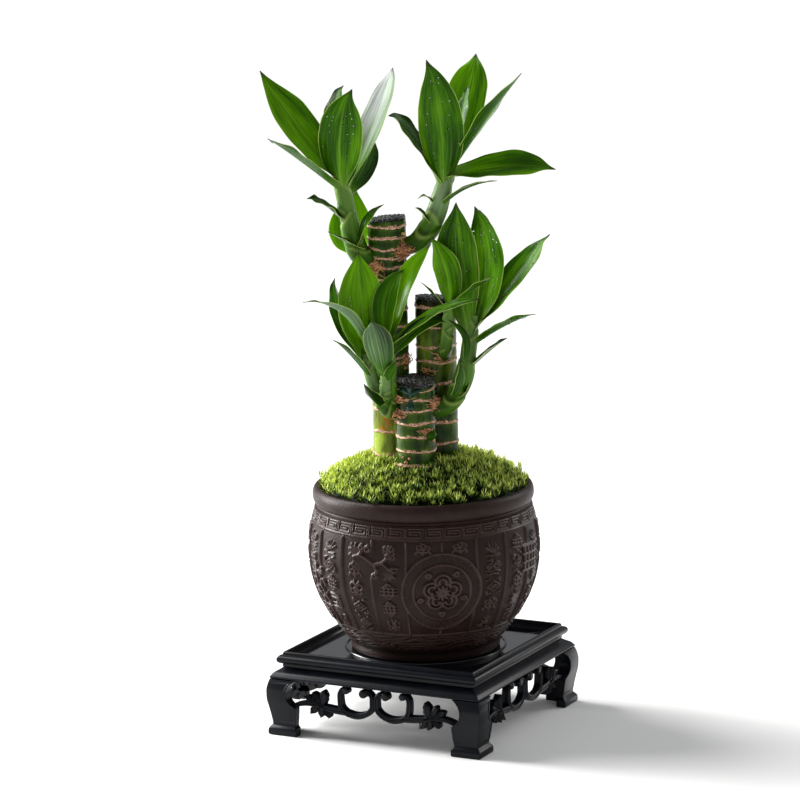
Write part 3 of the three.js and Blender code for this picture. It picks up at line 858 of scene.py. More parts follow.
class Section(Enum):
    """How deep a carved band's face lies behind the fret's front, from one edge to the other."""

    SCROLL = (6, 1.3, 0.45, 0.1, 0.3, -0.3, 0.3, 0.1, 0.45, 1.3, 6)
    LEAFLET = (6, 2.6, 1.7, 0.75, 0.55, -0.3, 0.55, 0.75, 1.7, 2.6, 6)


@dataclass
class Stand:
    """Black stand: dished tray, sloping rail, four curved legs and four fretted aprons."""

    lacquer: Lacquer = field(default_factory=Lacquer)
    shoulder: float = 84.2
    waist: float = 76.9
    bead: Point = (77.3, 55.5, 3.1)  # half side and height of its middle, radius
    lip: Point = (75.35, 59.9, 1.35)
    lip_rise: float = 1.2
    rail_bottom: float = 42.0
    rail_inside: float = 72.0
    rail_bead: float = 1.1
    fret_front: float = 83.0
    fret_depth: float = 6.0
    leg_wall: float = 78.0
    leg_top: float = 41.7
    leg_bead: float = 0.45
    leg_curve: tuple = ((0, 84.6), (0.5, 85.2), (1.4, 85.5), (4.2, 85.4), (5.4, 84.9), (8, 82.9), (13, 83.5),
                        (21, 84.9), (28, 86.1), (33, 86.2), (38, 85.4), (41.7, 84.2))
    leg_edge: tuple = ((0, 62.4), (5.2, 62.3), (6.2, 62.8), (7.8, 63.7), (14, 63.2), (21.2, 62.9), (24.6, 67),
                       (28, 69.4), (32, 70.1), (36.6, 68.8), (40.4, 65.2), (41.7, 62.8))
    scroll: tuple = ((8.6, 36.6), (5.4, 39), (1.7, 35), (1.7, 28.6), (7, 22.4), (14.5, 20.4), (22, 21.6),
                     (27.4, 27.4), (27.9, 35), (25.4, 39.4), (22.4, 38))
    scroll_widths: tuple = (3.4, 3.4, 3.6, 4, 4.4, 4.8, 4.6, 4.2, 3.8, 3.4, 3.2)
    curls: tuple = ((9, 37.5, 3.2), (22.8, 38.6, 2.7))
    vine: tuple = ((24, 22.4), (32, 22.9), (40, 24), (47, 25.6), (54, 25.6), (61, 24.4), (66.2, 22.2))
    vine_widths: tuple = (5, 5.2, 4.6, 4, 3.6, 3.4, 3.2)
    leaflets: tuple = (
        ((43, 24), (41, 36.8), 7.0), ((44.5, 25), (50, 34.6), 6.4), ((46, 25), (56.4, 31), 5.8),
        ((42, 26), (36.4, 16.6), 6.4), ((44, 26), (43.2, 16.4), 6.2), ((46.5, 26), (51.8, 18.4), 5.8),
    )

    def tray(self) -> None:
        """Tray: a closed profile of floor, waist, bead and lip carried round the square."""
        profile = np.concatenate([
            [[0, 49.7], [self.waist - 0.4, 49.7], [self.waist, 50.1], [self.waist, 52.2], [77.6, 52.7]],
            arc(*self.bead, -62, 62, 9), [[77.0, 58.6], [76.8, 59.2]],
            arc(*self.lip, 0, 180, 7, tall=self.lip_rise / self.lip[2]),
            [[73.7, 58.4], [73.3, 56.6], [72.6, TRAY_FLOOR], [0, TRAY_FLOOR]],
        ])
        rings = square_turned(profile)
        polish = np.broadcast_to((profile[:, 1] == TRAY_FLOOR)[:, None], rings.shape[:2]).astype(float)
        made = Surface(("polish",))
        made.shell(rings, polish=polish)
        made.piece("Tray", self.lacquer, "black_lacquer", ["stand_tray"], on_plant=False, welded=True)

    def rail(self) -> None:
        """Rail: an ogee slope under the waist, with a bead at its foot."""
        share = np.linspace(0, 1, 9)
        slope = curve([(0, 83.2), (0.35, 81.8), (0.7, 79.2), (1, 77.2)], share)
        profile = np.concatenate([
            [[self.rail_inside, self.rail_bottom]],
            arc(self.shoulder - self.rail_bead, 43.1, self.rail_bead, -80, 60, 6),
            np.stack([slope, 44.7 + 4.4 * share], axis=1),
            [[self.waist, 49.4], [self.rail_inside, 49.4], [self.rail_inside, self.rail_bottom]],
        ])
        made = Surface()
        made.shell(square_turned(profile))
        made.piece("Rail", self.lacquer, "black_lacquer", ["stand_rail"], on_plant=False, welded=True)

    def leg_rings(self) -> Array:
        """Angle-shaped sections of the front right leg, one for each height.

        Both arms run from the arch's edge to the rounded outer corner, and a low bead follows the edge.

        Returns:
            An array of rings, points and coordinates.
        """
        z = np.unique(np.concatenate([np.linspace(0, 9, 19), np.linspace(9, self.leg_top, 44)]))
        outer, edge = curve(self.leg_curve, z), curve(self.leg_edge, z)
        wall = np.full(len(z), self.leg_wall)
        proud = outer + self.leg_bead * smoothstep(8.5, 11, z) * (1 - smoothstep(38.5, 41, z))
        arm = [(edge, wall), (edge, proud - 0.4), (edge + 0.4, proud), (edge + 1.5, proud),
               (edge + 2.0, outer), (outer - 1.0, outer)]
        mirrored = [(b, a) for a, b in reversed(arm)]
        ring = [*arm, (outer - 0.3, outer - 0.3), *mirrored, (wall, wall)]
        return np.stack([np.stack([a, -b, z], axis=1) for a, b in ring], axis=1)

    def legs(self) -> None:
        """Four legs, each the first one turned."""
        rings = self.leg_rings()
        for turns, corner in enumerate(CORNERS):
            made = Surface()
            made.sweep(quarter_turned(rings, turns))
            made.piece(f"Leg {corner}", self.lacquer, "black_lacquer", [f"stand_leg_{corner}"],
                       on_plant=False, crease=35)

    def moulded(self, made: Surface, line: Array, widths: Array, section: Section,
                mirrored: bool) -> None:
        """Add a carved band: a line in the fret's plane with a rounded, ribbed section.

        Args:
            made: surface that the band is added to.
            line: x and z of the centre line.
            widths: width at each point.
            section: the shape of its face.
            mirrored: add the left half's band instead of the right's.
        """
        heading = unit(np.gradient(line, axis=0))
        normal = np.stack([-heading[:, 1], heading[:, 0]], axis=1)
        share = np.array([-1, -1, -0.84, -0.5, -0.16, 0, 0.16, 0.5, 0.84, 1, 1])
        spot = line[:, None] + normal[:, None] * (widths[:, None, None] / 2) * share[None, :, None]
        y = np.broadcast_to(np.array(section.value) - self.fret_front, spot.shape[:2])
        x = -spot[..., 0] if mirrored else spot[..., 0]
        made.sweep(np.stack([x, y, spot[..., 1]], axis=-1))

    def leaflet(self, made: Surface, root: Sequence[float], tip: Sequence[float], width: float,
                mirrored: bool) -> None:
        """Add a leaflet of the vine: straight, with a leaf's outline and a slightly lobed edge.

        Args:
            made: surface that it is added to.
            root: x and z where it leaves the vine.
            tip: x and z of its tip.
            width: its width.
            mirrored: add the left half's leaflet instead of the right's.
        """
        t = np.linspace(0, 1, 14)
        line = np.asarray(root) + t[:, None] * (np.asarray(tip, float) - root)
        outline = curve([(0, 0.45), (0.3, 0.88), (0.62, 1), (0.86, 0.68), (0.96, 0.4), (1, 0.12)], t)
        widths = width * outline * (1 + 0.09 * np.sin(t * 19))
        self.moulded(made, line, widths, Section.LEAFLET, mirrored)

    def curl(self, made: Surface, x: float, z: float, radius: float, mirrored: bool) -> None:
        """Add the round boss in which a scroll ends: an oval profile turned about y.

        Args:
            made: surface that it is added to.
            x: its middle, to the right.
            z: height of its middle.
            radius: its radius.
            mirrored: add the left half's boss instead of the right's.
        """
        crown = arc(0.45 * radius, -1.2, 0.55 * radius, 0, 90, 5, tall=1.5 / (0.55 * radius))
        rings = revolved(np.concatenate([[[radius, -self.fret_depth]], crown]), 20)
        across, up, out = (rings[..., i] for i in range(3))
        side = -1 if mirrored else 1
        made.sweep(np.stack([side * (across + x), -self.fret_front - out, up + z], axis=-1))

    def fret(self, turns: int) -> Surface:
        """One apron: scrolls, vine and leaflets on both halves, turned to its side.

        Args:
            turns: quarter turns from the front.

        Returns:
            The apron's surface.
        """
        made = Surface()
        for mirrored in (False, True):
            bands = (self.scroll, self.scroll_widths, 44), (self.vine, self.vine_widths, 24)
            for knots, widths, steps in bands:
                self.moulded(made, path(knots, steps), spaced(widths, steps), Section.SCROLL, mirrored)
            for root, tip, width in self.leaflets:
                self.leaflet(made, root, tip, width, mirrored)
            for x, z, radius in self.curls:
                self.curl(made, x, z, radius, mirrored)
        made.points = [quarter_turned(points, turns) for points in made.points]
        return made

    def frets(self) -> None:
        """Four fretted aprons between the legs."""
        for turns, side in enumerate(SIDES):
            self.fret(turns).piece(f"Fret {side}", self.lacquer, "black_lacquer", [f"stand_fret_{side}"],
                                   on_plant=False, crease=50)

    def foot_ring(self) -> None:
        """A slim turned ring on the tray round the pot's foot, a third as polished as the tray's floor."""
        profile = arc(58.6, TRAY_FLOOR + 0.35, 0.8, 0, 360, 9, tall=0.875)
        made = Surface(("polish",))
        made.shell(revolved(profile, 96), polish=0.35)
        made.piece("Ring round the foot", self.lacquer, "black_lacquer", welded=True)

    def build(self) -> None:
        """Build every piece of the stand."""
        self.tray()
        self.rail()
        self.legs()
        self.frets()
        self.foot_ring()


# Pot


class Motif(Enum):
    """Small generic ornaments that fill the columns between the pot's ribs."""

    BLOSSOM = "blossom"
    CLOUD = "cloud"
    LOZENGE = "lozenge"
    KEY = "key"
    SPRIG = "sprig"
    KNOT = "knot"
    BUTTERFLY = "butterfly"
    CRACKS = "cracked ice"
    BAMBOO = "bamboo"
    PINE = "pine"


def round_about(count: int, first: float = 90.0) -> Array:
    """Angles in radians, evenly spread round a circle from a first one in degrees."""
    return np.radians(np.arange(count) * 360 / count + first)


def polar(radius: float, angle: float) -> tuple[float, float]:
    """Place at a distance and an angle in radians from the middle."""
    return radius * math.cos(angle), radius * math.sin(angle)


def petals(reach: float, radius: float, first: float, start: float, end: float, steps: int = 10,
           grow: float = 0.0) -> list[Array]:
    """Five arcs round the middle.

    Args:
        reach: distance of their centres from the middle.
        radius: their radius at the start.
        first: bearing of the first one in degrees.
        start: where an arc starts, in degrees from its bearing.
        end: where it ends.
        steps: points of each arc.
        grow: radius added by the end.

    Returns:
        The arcs' points.
    """
    turns = [(a, math.degrees(a)) for a in round_about(5, first)]
    return [arc(*polar(reach, a), radius, turn + start, turn + end, steps, grow) for a, turn in turns]


def fan(x: float, y: float, wide: float, tall: float, angles: Array) -> list:
    """Straight strokes that spread from a place to an oval round it."""
    return [[(x, y), (x + wide * math.cos(a), y + tall * math.sin(a))] for a in angles]


def bamboo_leaf(angle: float, height: float) -> Array:
    """A closed leaf that leaves a stem at an angle in radians."""
    leaf = np.array([(0, 0), (1.6, 1.0), (4.2, 0.4), (1.8, -0.7), (0, 0)])
    return leaf @ np.array([polar(1, angle), polar(1, angle + np.pi / 2)]) + [0, height]


# Strokes of each motif, in a square from about -5 to 5 mm
STROKES: dict[Motif, list] = {
    Motif.BLOSSOM: [
        *[arc(2.5 * math.cos(a), 1 + 2.5 * math.sin(a), 1.6, 0, 360, 9) for a in round_about(5)],
        arc(-2.8, -3.6, 1.6, 20, 200, 7), arc(2.8, -3.6, 1.6, -20, 160, 7), [(0, -1.6), (0.3, -4.8)],
    ],
    Motif.CLOUD: [
        arc(-2, 1.4, 0.7, 0, 540, 16, 2.2), arc(2.8, 0.4, 0.5, 90, 480, 12, 1.7),
        arc(2.6, 4, 1.3, 200, 20, 6), [(-4.8, -2.2), (-1, -1.6), (2, -2.6), (4.9, -2)],
        [(-3.6, -4.4), (0, -3.8), (3.6, -4.6)],
    ],
    Motif.LOZENGE: [
        *[np.array([(0, 3.4), (4.4, 0), (0, -3.4), (-4.4, 0), (0, 3.4)]) * size for size in (1, 0.4)],
        *[[(x, z), (x + 1.9, z)] for x in (-4.6, 2.7) for z in (-4.7, 4.7)],
        [(-4.7, 2.4), (-4.7, 4.7)], [(4.7, -2.4), (4.7, -4.7)],
    ],
    Motif.KEY: [
        [(-4, -4.6), (4, -4.6), (4, 2), (-3.8, 2), (-3.8, -1.8), (1.4, -1.8), (1.4, -0.2)],
        [(-4.6, 4.6), (4.6, 4.6)],
    ],
    Motif.SPRIG: [
        [(0.3, -4.8), (-0.3, -2), (0.3, 1), (0, 4.8)],
        *[arc(side * 2.1, up, 1.4, 0, 360, 8) for side in (-1, 1) for up in (-2.2, 0.6, 3.2)],
    ],
    Motif.KNOT: [
        *[[(x, -3.4), (x, 3.4)] for x in (-2.6, 0, 2.6)], *[[(-4.4, z), (4.4, z)] for z in (-2.3, 0, 2.3)],
        arc(0, 3.6, 1.4, 0, 180, 6), arc(0, -3.6, 1.4, 180, 360, 6),
    ],
    Motif.BUTTERFLY: [
        *[arc(side * 2.6, up, size, 0, 360) for side in (-1, 1) for up, size in ((1.4, 2.0), (-2.2, 1.5))],
        [(0, -4.4), (0, 2.6)], [(0, 2.6), (-1.8, 4.8)], [(0, 2.6), (1.8, 4.8)],
    ],
    Motif.CRACKS: [
        [(-4.6, 4.2), (-1.2, 2.4), (3.8, 4.7)], [(-1.2, 2.4), (-1.7, -0.9)], [(1.5, -2.1), (0.7, -4.8)],
        [(-4.7, -0.3), (-1.7, -0.9), (1.5, -2.1), (4.7, -0.7)], [(-1.2, 2.4), (2.9, 1.4), (4.7, -0.7)],
        [(-4.3, -4.4), (-1.7, -0.9)], [(4.6, -4.4), (1.5, -2.1)],
    ],
    Motif.BAMBOO: [
        [(0.5, -5), (-0.3, -2), (0, 4.6)],
        *[bamboo_leaf(angle, height) for angle, height in
          ((0.75, 0.6), (2.4, 0.6), (0.1, -0.2), (3.0, -0.2), (-0.6, -1.4), (3.7, -1.4))],
    ],
    Motif.PINE: [
        *fan(-1, -2.4, 5, 5.6, np.radians(np.arange(5) * 30 + 28)),
        *fan(2.4, -4.6, 2.6, 2.8, np.radians(np.arange(4) * 36 + 20)), [(-4.6, -4.4), (2.4, -4.6)],
    ],
}

ORNAMENT_REACH = 23.0  # no ornament is larger than this from its middle

# Larger pictures, in millimetres from their middle
BLOSSOM_BRANCH = [
    [(-15, 3), (-10, 5), (-4, 2.5), (2, -1), (8, 0.5), (13, -3.5), (19, -3)],
    [(-10, 5), (-8, 9), (-5, 11)], [(2, -1), (4, -5), (3, -8)], [(8, 0.5), (11, 3.5)],
    arc(-3.5, 9.5, 1.9, 0, 360, 9), arc(-8.5, 10.5, 1.5, 0, 360, 8), arc(12.5, 5.4, 1.6, 0, 360, 8),
    arc(2.2, -9.6, 1.6, 0, 360, 8),
]
LATTICE = [
    *[[(x, -9), (x, 9)] for x in (-7, -2.4, 2.4, 7)], *[[(-9.5, z), (9.5, z)] for z in (-9, -3, 3, 9)],
    [(-9.5, 9), (-12, 11.5)], [(9.5, 9), (12, 11.5)],
]
ROCKS = [
    arc(-6, -10, 5, 200, -20, 9), arc(3, -11, 4.4, 190, -10, 8), arc(-1, -4, 4.6, 210, -30, 9),
    arc(-7, 2, 3.4, 200, 0, 8), arc(4.5, 2.4, 3.6, 190, -20, 8), arc(-1.5, 8, 3.2, 220, -10, 8),
    arc(-5, 13, 1.2, 0, 500, 12, 1.9), arc(4.4, 12.5, 1.0, 180, 640, 12, 1.7),
    [(-10, -14), (-3, -13), (4, -14.5), (10, -13.5)], [(-9, -3), (-6, -5)], [(6, -5), (9, -3)],
]
MEDALLION = [
    *petals(8.3, 5.4, 90, -118, 118, 14), *petals(8.0, 2.6, 90, -120, 120),
    *[[polar(2.4, a), polar(5, a)] for a in round_about(10, 18)], arc(0, 0, 1.5, 0, 360),
    *petals(16.6, 2.0, 54, 0, 300, grow=-0.8),
]


def stroke(s: Array, z: Array, line: Sequence, width: float) -> Array:
    """Share of a stroke's height: 1 along the line and 0 beyond its rounded edge.

    Args:
        s: distance along the wall.
        z: height.
        line: corner points of the stroke.
        width: width of the stroke.

    Returns:
        Values from 0 to 1.
    """
    nearest = np.full(s.shape, 1e9)
    for (ax, az), (bx, bz) in zip(line[:-1], line[1:]):
        dx, dz = bx - ax, bz - az
        share = np.clip(((s - ax) * dx + (z - az) * dz) / max(dx * dx + dz * dz, 1e-9), 0, 1)
        nearest = np.minimum(nearest, np.hypot(s - ax - share * dx, z - az - share * dz))
    return 1 - smoothstep(width * 0.4, width * 0.76, nearest)


@dataclass
class Wall:
    """The pot's wall laid flat, and the relief that is pressed into it."""

    turn: Array  # degrees from the pot's front, to the right
    z: Array
    unroll: float = 82.0  # radius at which an angle becomes a distance along the wall
    rib_pitch: float = 18.0  # degrees
    rib_offset: float = 8.6
    medallion_height: float = 114.5
    borders: tuple[float, float] = (21.0, 29.0)  # radii of the medallion's two borders
    dots: int = 84  # waves of dots round the medallion
    dot_pitch: float = 2.3
    spots: tuple = (88, 101.5, 115.5, 129.5, 143.2)  # heights of a column's ornaments
    high_spot: tuple = (147,)  # the one over a medallion's side
    keys: int = 36
    key_lines: tuple = (153.6, 162.8)
    pictures: tuple = (  # strokes, angles, height, half width and half height of the cleared oval
        (BLOSSOM_BRANCH, (-27, 152), 136, 18, 12), (ROCKS, (-66, 114), 110, 12, 17),
        (LATTICE, (64, 244), 130, 12, 12),
    )

    def __post_init__(self) -> None:
        """Work out the distance s along the wall, and start smooth."""
        self.s = np.radians(self.turn) * self.unroll
        self.relief = np.zeros(self.s.shape)

    def apart(self, bearing: float) -> Array:
        """Distance along the wall from a bearing in degrees, the short way round."""
        around = 2 * np.pi * self.unroll
        return (self.s - math.radians(bearing) * self.unroll + around / 2) % around - around / 2

    def lift(self, heights: Array) -> None:
        """Raise the relief to these heights where it is lower."""
        self.relief = np.maximum(self.relief, heights)

    def press(self, lines: Sequence, bearing: float, height: float, width: float, proud: float,
              spin: float = 0.0) -> None:
        """Press an ornament into the wall.

        Args:
            lines: its strokes, measured from its middle.
            bearing: angle of its middle in degrees.
            height: height of its middle.
            width: stroke width.
            proud: how far the strokes stand out.
            spin: turn in degrees.
        """
        s, z = self.apart(bearing), self.z - height
        near = (np.abs(s) < ORNAMENT_REACH) & (np.abs(z) < ORNAMENT_REACH)
        cos, sin = math.cos(math.radians(spin)), math.sin(math.radians(spin))
        for line in lines:
            x, y = np.asarray(line, float).T
            spun = np.stack([x * cos - y * sin, x * sin + y * cos], axis=1)
            self.relief[near] = np.maximum(self.relief[near], proud * stroke(s[near], z[near], spun, width))

    def add_ribs(self) -> None:
        """Raise upright ribs between two heights, and a line at their feet."""
        panel = smoothstep(79, 80.5, self.z) * (1 - smoothstep(151.4, 152.4, self.z))
        gap = (self.turn - self.rib_offset + self.rib_pitch / 2) % self.rib_pitch - self.rib_pitch / 2
        across = np.abs(np.radians(gap) * self.unroll)
        self.lift(0.95 * (1 - smoothstep(0.25, 1.05, across)) * panel)
        self.lift(0.45 * (1 - smoothstep(0.3, 1.0, np.abs(self.z - 79.6))))

    def fill_columns(self) -> None:
        """Press motifs between the ribs: five one above another, or one over a medallion's side."""
        draw = np.random.default_rng(5)
        order = list(Motif)
        count = round(360 / self.rib_pitch)
        beside = {0, count - 1, count // 2, count // 2 - 1}
        for column in range(count):
            middle = (column + 0.5) * self.rib_pitch + self.rib_offset
            heights, tall = (self.high_spot, 0.74) if column in beside else (self.spots, 1.12)
            for height in heights:
                drawn = order[int(draw.integers(len(order)))]
                motif = Motif.BLOSSOM if column in beside else drawn
                wide = (1.18 if height > 95 else 1.02) * draw.choice([-1, 1]) * draw.uniform(0.94, 1.06)
                bearing = middle + draw.uniform(-0.6, 0.6)
                lines = [np.asarray(line) * [wide, tall] for line in STROKES[motif]]
                self.press(lines, bearing, height, 1.2, 0.9, draw.uniform(-7, 7))

    def add_pictures(self) -> None:
        """Clear an oval for each larger picture and press it there."""
        for lines, bearings, height, wide, tall in self.pictures:
            for bearing in bearings:
                oval = np.hypot(self.apart(bearing) / wide, (self.z - height) / tall)
                self.relief *= 1 - np.exp(-(oval**6))
                self.press(lines, bearing, height, 1.6, 1.15)

    def add_medallion(self, bearing: float) -> None:
        """Press two round borders with dots between them, and a blossom in the middle.

        The dots are a sine of the direction times a sine of the distance from the middle.

        Args:
            bearing: angle of its middle from the pot's front in degrees.
        """
        inner, outer = self.borders
        across, rise = self.apart(bearing), self.z - self.medallion_height
        reach = np.hypot(across, rise)
        rows = np.sin((reach - inner) * np.pi / (self.dot_pitch / 2))
        raised = smoothstep(0.1, 0.7, np.sin(np.arctan2(rise, across) * self.dots) * rows)
        dotted = 0.5 * raised * (reach > inner + 1) * (reach < outer - 1)
        self.relief = np.where(reach < outer + 1, dotted, self.relief)
        nearest = np.minimum(np.abs(reach - outer), np.abs(reach - inner))
        self.lift(0.9 * (1 - smoothstep(0.35, 1.25, nearest)))
        self.press(MEDALLION, bearing, self.medallion_height, 1.9, 1.1)

    def add_key_band(self) -> None:
        """Raise a key fret under the rim: a squared hook, repeated round the pot between two lines."""
        cell = self.s % (2 * np.pi * self.unroll / self.keys)
        hook = [(0.7, 161.2), (0.7, 155.3), (11.8, 155.3), (11.8, 159.3), (3.4, 159.3), (3.4, 157.3),
                (9.2, 157.3)]
        bar = [(2.8, 161.2), (13.6, 161.2), (13.6, 155.0)]
        for line in (hook, bar):
            self.lift(0.5 * stroke(cell, self.z, line, 1.0))
        for height in self.key_lines:
            self.lift(0.5 * (1 - smoothstep(0.25, 0.9, np.abs(self.z - height))))

    def add_waves(self) -> None:
        """Raise water under the columns: ridges 2.6 mm apart, bent by two sines and a noise."""
        s, z = self.s, self.z
        bent = z + 1.2 * np.sin(s / 8.3) + 0.6 * np.sin(s / 4.1 + z / 3) + 1.6 * noise(s / 11, z / 4)
        ridge = smoothstep(-0.1, 0.9, np.sin(2 * np.pi * bent / 2.6))
        self.lift(0.42 * ridge * smoothstep(65, 67, z) * (1 - smoothstep(77.5, 79.5, z)))

    def pressed(self) -> Array:
        """Press all the ornaments.

        Returns:
            Height of the relief at each point, that of the highest ornament there.
        """
        self.add_ribs()
        self.fill_columns()
        self.add_pictures()
        for bearing in (self.rib_offset, self.rib_offset + 180):
            self.add_medallion(bearing)
        self.add_key_band()
        self.add_waves()
        return self.relief


@dataclass
class Pot:
    """Round clay pot with a rolled rim and pressed relief."""

    clay: Clay = field(default_factory=Clay)
    half_columns: int = 500
    body_columns: int = 128
    depth: float = 1.6  # scale of the relief's height
    # Height and radius of the outside, radius and height of the inside
    wall: tuple = ((56.9, 54.3), (58, 54.7), (62.5, 55.3), (64.5, 56.4), (67, 58.4), (70.5, 61), (76, 64.8),
                   (84, 69.8), (90.6, 73.4), (95, 75.7), (99.6, 77.5), (104, 79.2), (109, 80.8), (113, 81.7),
                   (122, 83), (131, 83.5), (140, 83), (149, 82), (154, 81), (158, 79.9), (161.5, 79),
                   (163.6, 78.4))
    inside: tuple = ((73.7, 172), (73.6, 167), (73.4, 163), (78, 134), (77, 118), (71, 97), (60, 78),
                     (43, 64.5), (0, 64.5))

    def body(self) -> None:
        """Foot, rolled rim and inside, with a wall that lies 1.5 mm under the pressed one."""
        z = np.linspace(56.9, 163.6, 40)
        under = curve(self.wall, z) - 1.5 * smoothstep(61, 63, z) * (1 - smoothstep(162.6, 163.6, z))
        rolled = arc(77.3, 171.3, 3.6, -100, 118, 15, tall=1.75)
        rim = np.concatenate([[[78.3, 164.4]], rolled[1:], [[74.4, 176.6], [73.9, 175.2]]])
        foot = np.array([[0, POT_FLOOR + 2.5], [46, POT_FLOOR + 2.5], [48, POT_FLOOR], [53.6, POT_FLOOR]])
        profile = np.concatenate([foot, np.stack([under, z], axis=1), rim, np.array(self.inside, float)])
        rings = revolved(profile, self.body_columns, -np.pi / 2)
        dent = 0.2 * noise(rings[..., 0] / 12, rings[..., 1] / 12, rings[..., 2] / 12)
        dent[: len(foot)] = 0
        dent[-len(self.inside):] = 0
        reach = np.hypot(rings[..., 0], rings[..., 1])
        rings[..., :2] *= np.where(reach > 1, 1 + dent / np.maximum(reach, 1), 1)[..., None]
        made = Surface(("relief",))
        made.shell(rings, relief=0.1)
        made.piece("Clay pot", self.clay, "brown_clay", ["pot"], crease=60, welded=True)

    def pressed_half(self, name: str, start: float) -> None:
        """Half of the pressed wall: the silhouette's radius plus the relief, over an inner skin.

        The section is a closed loop at each angle, and both ends are closed on a rib, where the halves meet.

        Args:
            name: the piece's name.
            start: angle of its first end in degrees, from the pot's front to the right.
        """
        z = np.linspace(61.4, 163.8, 170)
        tuck = 2.2 * (1 - smoothstep(61.4, 62.6, z) * (1 - smoothstep(162.8, 163.8, z)))
        low = np.linspace(163.8, 61.4, 8)[1:-1]
        radius = np.concatenate([curve(self.wall, z) - tuck, curve(self.wall, low) - 2.6])
        height = np.concatenate([z, low])
        angle = np.linspace(start, start + 180, self.half_columns + 1)
        relief = Wall(*np.meshgrid(angle, z)).pressed().T * self.depth
        whole = np.concatenate([relief, np.zeros((len(angle), len(low)))], axis=1)
        turn = np.radians(angle)[:, None]
        across = (radius + whole)[..., None] * np.stack([np.sin(turn), -np.cos(turn)], axis=-1)
        dent = 1 + 0.002 * noise(across[..., 0] / 11, across[..., 1] / 11, height / 11)
        up = np.broadcast_to(height, whole.shape)[..., None]
        rings = np.concatenate([across * dent[..., None], up], axis=-1)
        made = Surface(("relief",))
        made.sweep(rings, relief=whole)
        made.piece(name, self.clay, "brown_clay", crease=70)

    def build(self) -> None:
        """Build the pot's body and its pressed wall."""
        self.body()
        self.pressed_half("Pressed wall front", Wall.rib_offset - 90)
        self.pressed_half("Pressed wall back", Wall.rib_offset + 90)


# Soil and moss


